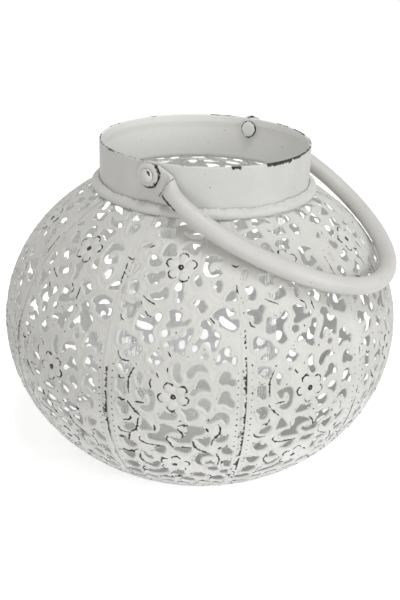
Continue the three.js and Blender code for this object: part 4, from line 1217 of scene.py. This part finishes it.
# over the top of the ear, and along the crease where the tube begins
scuffed = unit((rise - 6.3) / 0.4) * unit(1.3 - np.abs(reach - 1.0) / 2) * outside
handle_rubbed = np.maximum(handle_rubbed, scuffed * 0.75)
crease = unit(1 - np.abs(reach - EAR_LENGTH - 0.2 * rise) / 0.5) * outside
handle_rubbed = np.maximum(handle_rubbed, crease * 0.95)
# a dark line along the lower outer side of the tube's start
lower_outer_side = np.array(handle_turns) @ np.array((0.927, -0.375))
under = unit((lower_outer_side - 0.97) / 0.02) * unit(1.3 - np.abs(reach - 17) / 7) * (across < 0)
handle_rubbed = np.maximum(handle_rubbed, under * 0.9)
# and the tip of the back ear, where it stands above the collar's rim, is made dark
handle_placed = from_pivots(handle_points, RESTING_DROP)
level = reach * math.cos(RESTING_DROP) + rise * math.sin(RESTING_DROP)
tip = unit((handle_placed[:, 2] - COLLAR_TOP + 0.1) / 0.4) * unit(1.4 - np.abs(level) / 1.3)
handle_rubbed = np.maximum(handle_rubbed, tip * (across > 0))
handle = sheet_piece(
    "tube_handle",
    handle_placed,
    handle_faces,
    handle_paint,
    {"rubbed": handle_rubbed, "hollow": handle_rubbed},
)
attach(handle, "handle")
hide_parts("handle")

# Rivets and washers: a domed head over a plain washer outside each ear, and a flattened tail
# inside the collar. Dirt and bare metal show in the creases round them.
SHANK_RADIUS = 2.2
HEAD_RADIUS = 3.5
HEAD_HEIGHT = 2.3
HEAD_FACE = 61.0
WASHER_FACE = 59.7
WASHER_RADIUS = 6.1
WASHER_THICKNESS = 1.0
TAIL_RADIUS = 4.6
TAIL_HEIGHT = 1.2
TAIL_DROP = 0.9
HEAD_EDGE = 0.25
FITTING_SIDES = 56
tail_seat = math.sqrt((hem_face - SEAM_GAP) ** 2 - TAIL_RADIUS**2)

dome_turns = [math.radians(a) for a in range(0, 89, 8)]
dome_rise = HEAD_HEIGHT - HEAD_EDGE
rivet_profile = [
    (0, tail_seat - TAIL_HEIGHT),
    (TAIL_RADIUS * 0.5, tail_seat - TAIL_HEIGHT),
    (TAIL_RADIUS * 0.8, tail_seat - TAIL_HEIGHT * 0.95),
    (TAIL_RADIUS * 0.95, tail_seat - TAIL_HEIGHT * 0.75),
    (TAIL_RADIUS, tail_seat - TAIL_HEIGHT * 0.5),
    (TAIL_RADIUS, tail_seat - 0.1),
    (TAIL_RADIUS - 0.1, tail_seat),
    (SHANK_RADIUS, tail_seat),
    (SHANK_RADIUS, HEAD_FACE),
    (HEAD_RADIUS - 0.1, HEAD_FACE),
    *((HEAD_RADIUS * math.cos(a), HEAD_FACE + HEAD_EDGE + dome_rise * math.sin(a)) for a in dome_turns),
    (0, HEAD_FACE + HEAD_HEIGHT),
]
washer_profile = [
    (SHANK_RADIUS + 0.3, WASHER_FACE),
    *stepped(WASHER_RADIUS, WASHER_FACE, (-0.15, 0), (0, 0.15), (0, 0.45), (-0.12, 0.62), (-0.4, 0.72)),
    (WASHER_RADIUS - 1.6, WASHER_FACE + WASHER_THICKNESS),
    (SHANK_RADIUS + 0.3, WASHER_FACE + WASHER_THICKNESS),
]
TAIL_RINGS = 7
HEAD_SCRATCHES = [((0.4, 3.1), (1.9, 1.9)), ((1.7, 2.6), (2.7, 0.7)), ((1.0, 2.2), (2.1, 0.9))]
rivet_paint = worn_paint(
    "rubbed_rivet_paint",
    (0.67, 0.665, 0.64),
    (0.61, 0.605, 0.58),
    (0.3, 0.29, 0.27),
    roughness=0.4,
    lumps=0.15,
)
fittings = {"rivet": (rivet_profile, "domed_{}_rivet"), "washer": (washer_profile, "plain_{}_washer")}
for side, turn in (("front", 0.0), ("back", math.pi)):
    for kind, (profile, title) in fittings.items():
        points, faces = turned_ring(profile, FITTING_SIDES)
        away = np.hypot(points[:, 0], points[:, 1])
        depth = points[:, 2].copy()
        if kind == "rivet":
            # the tail was hammered downwards
            hanging = unit(-points[:, 1] / TAIL_RADIUS) ** 4 * (depth < tail_seat + 0.01)
            points[:, 1] -= TAIL_DROP * hanging
            points[:, 0] *= 1 - 0.25 * hanging
        round_about = np.arctan2(points[:, 1], points[:, 0])
        if kind == "rivet":
            rubbed = unit(1 - np.abs(depth - HEAD_FACE) / 0.6) * 0.9
            for start, end in np.array(HEAD_SCRATCHES if side == "front" else []):
                run = unit((points[:, :2] - start) @ (end - start) / np.sum((end - start) ** 2))
                off = np.linalg.norm(points[:, :2] - start - run[:, None] * (end - start), axis=1)
                rubbed = np.maximum(rubbed, unit(1 - off / 0.42) * (depth > HEAD_FACE + 0.3))
            broken = unit(0.8 + 0.25 * np.sin(2 * round_about + 0.8) + 0.2 * np.sin(7 * round_about))
            tail_edge = unit((away - TAIL_RADIUS + 0.6) / 0.4) * (depth < tail_seat)
            rubbed = np.maximum(rubbed, tail_edge * broken)
        else:
            lee = unit(0.6 + (0.75 * points[:, 0] - 0.75 * points[:, 1]) / away)
            rubbed = unit(1.3 - np.abs(depth - WASHER_FACE - 0.2) / 0.8) * unit(away - 5.1) * lee
            lower = unit(2.2 * np.cos(round_about + 1.25) - 0.8)
            rubbed = np.maximum(rubbed, unit((away - 5.5) / 0.35) * lower * 0.95)
        # the profile's height runs outwards along the pivot line
        placed = from_pivots(spun(np.stack([points[:, 0], -depth, points[:, 1]], 1), turn), 0)
        inside = [int(kind == "rivet" and i < TAIL_RINGS) for i in range(len(faces) // FITTING_SIDES)]
        # the rivet tails inside the collar take the lighter inside paint and painted light
        piece = sheet_piece(
            title.format(side),
            placed,
            faces,
            rivet_paint,
            {"rubbed": rubbed, "hollow": rubbed, "painted_light": (depth < tail_seat).astype(float)},
            lined=inside * FITTING_SIDES,
        )
        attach(piece, frame["nodes"][f"{side}_{kind}"]["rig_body"])
        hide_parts(f"{side}_{kind}")

# Glass: a loose, clear, thick-walled cylinder that shields the candle, standing on the base.
# It shows through the openings, with faint upright streaks and a rounded rim.
GLASS_OUTSIDE = 44.5
GLASS_INSIDE = 41.5
GLASS_FOOT = 1.5
GLASS_RIM = 155.6
GLASS_FLOOR = 4.0
GLASS_SIDES = 120

rim_radius = (GLASS_OUTSIDE - GLASS_INSIDE) / 2
glass_inner_floor = GLASS_FOOT + GLASS_FLOOR
glass_profile = [(0, GLASS_FOOT), (30, GLASS_FOOT)]
glass_profile += stepped(GLASS_OUTSIDE, GLASS_FOOT, (-1.2, 0), (-0.3, 0.4), (0, 1.4))
glass_profile += [(GLASS_OUTSIDE, height) for height in np.linspace(20, 140, 5)]
for i in range(11):
    angle = math.pi * i / 10
    out, up = rim_radius * math.cos(angle), rim_radius * math.sin(angle)
    glass_profile.append((GLASS_INSIDE + rim_radius + out, GLASS_RIM - rim_radius + up))
glass_profile += [(GLASS_INSIDE, height) for height in np.linspace(140, 20, 5)]
glass_profile += stepped(GLASS_INSIDE, glass_inner_floor, (0, 1.5), (-1.5, 0))
glass_profile.append((0, glass_inner_floor))
glass_points, glass_faces = turned_ring(glass_profile, GLASS_SIDES)

clear_glass = bpy.data.materials.new("clear_candle_glass")
clear_glass.use_nodes = True
tree = clear_glass.node_tree
# drawn glass is never quite even: fine upright lines. Towards its edges they are painted white and grey
# and made less clear: painted reflection and refraction
place = tree.nodes.new("ShaderNodeTexCoord").outputs["Object"]
drawn_out = add_node(tree, "ShaderNodeMapping", Vector=place, Scale=(1, 1, 0.012)).outputs["Vector"]
streaks = add_node(tree, "ShaderNodeTexNoise", Vector=drawn_out, Scale=750, Detail=1).outputs["Fac"]
uneven = add_node(tree, "ShaderNodeBump", Height=streaks, Strength=0.5, Distance=0.03 * MM)
drawn = spread(tree, streaks, 0.42, 0.58)
facing = add_node(tree, "ShaderNodeLayerWeight", Blend=0.5).outputs["Facing"]
body = spread(tree, reckoned(tree, "MULTIPLY", facing, painted_on(tree, "wall")), 0.4, 1.0, 0.04, 0.9)
thick = reckoned(tree, "MULTIPLY", spread(tree, drawn, 0.0, 1.0, 0.22, 1.0), body)
lines = reckoned(tree, "MULTIPLY", drawn, body)
# one looks through the most glass at the rim and at the corner of the foot, so they are painted grey
# and less clear: painted shade of the thick glass
painted_grey_bends = painted_on(tree, "painted_grey_bends")
grey = reckoned(tree, "MAXIMUM", lines, painted_grey_bends)
set_up(
    tree,
    tree.nodes["Principled BSDF"],
    Base_Color=tinted(tree, grey, (0.96, 0.98, 0.985), (0.5, 0.54, 0.55)),
    Roughness=0.0,
    IOR=1.48,
    Transmission_Weight=0.72,
    Alpha=reckoned(tree, "MAXIMUM", thick, painted_grey_bends),
    Normal=uneven.outputs["Normal"],
)
glass_height = glass_points[:, 2]
glass_up = glass_height > glass_inner_floor + 1
glass_corner = (glass_height < GLASS_FOOT + 2) & (np.hypot(*glass_points[:, :2].T) > GLASS_OUTSIDE - 1)
glass_bent = (glass_height > GLASS_RIM - 1) | glass_corner
glass = sheet_piece(
    "candle_glass",
    glass_points,
    glass_faces,
    clear_glass,
    {"wall": glass_up.astype(float), "painted_grey_bends": 0.85 * glass_bent},
)
# clear glass lets the light through to what stands round it
glass.visible_diffuse = False
glass.visible_shadow = False
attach(glass, "glass")
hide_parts("glass_cylinder")
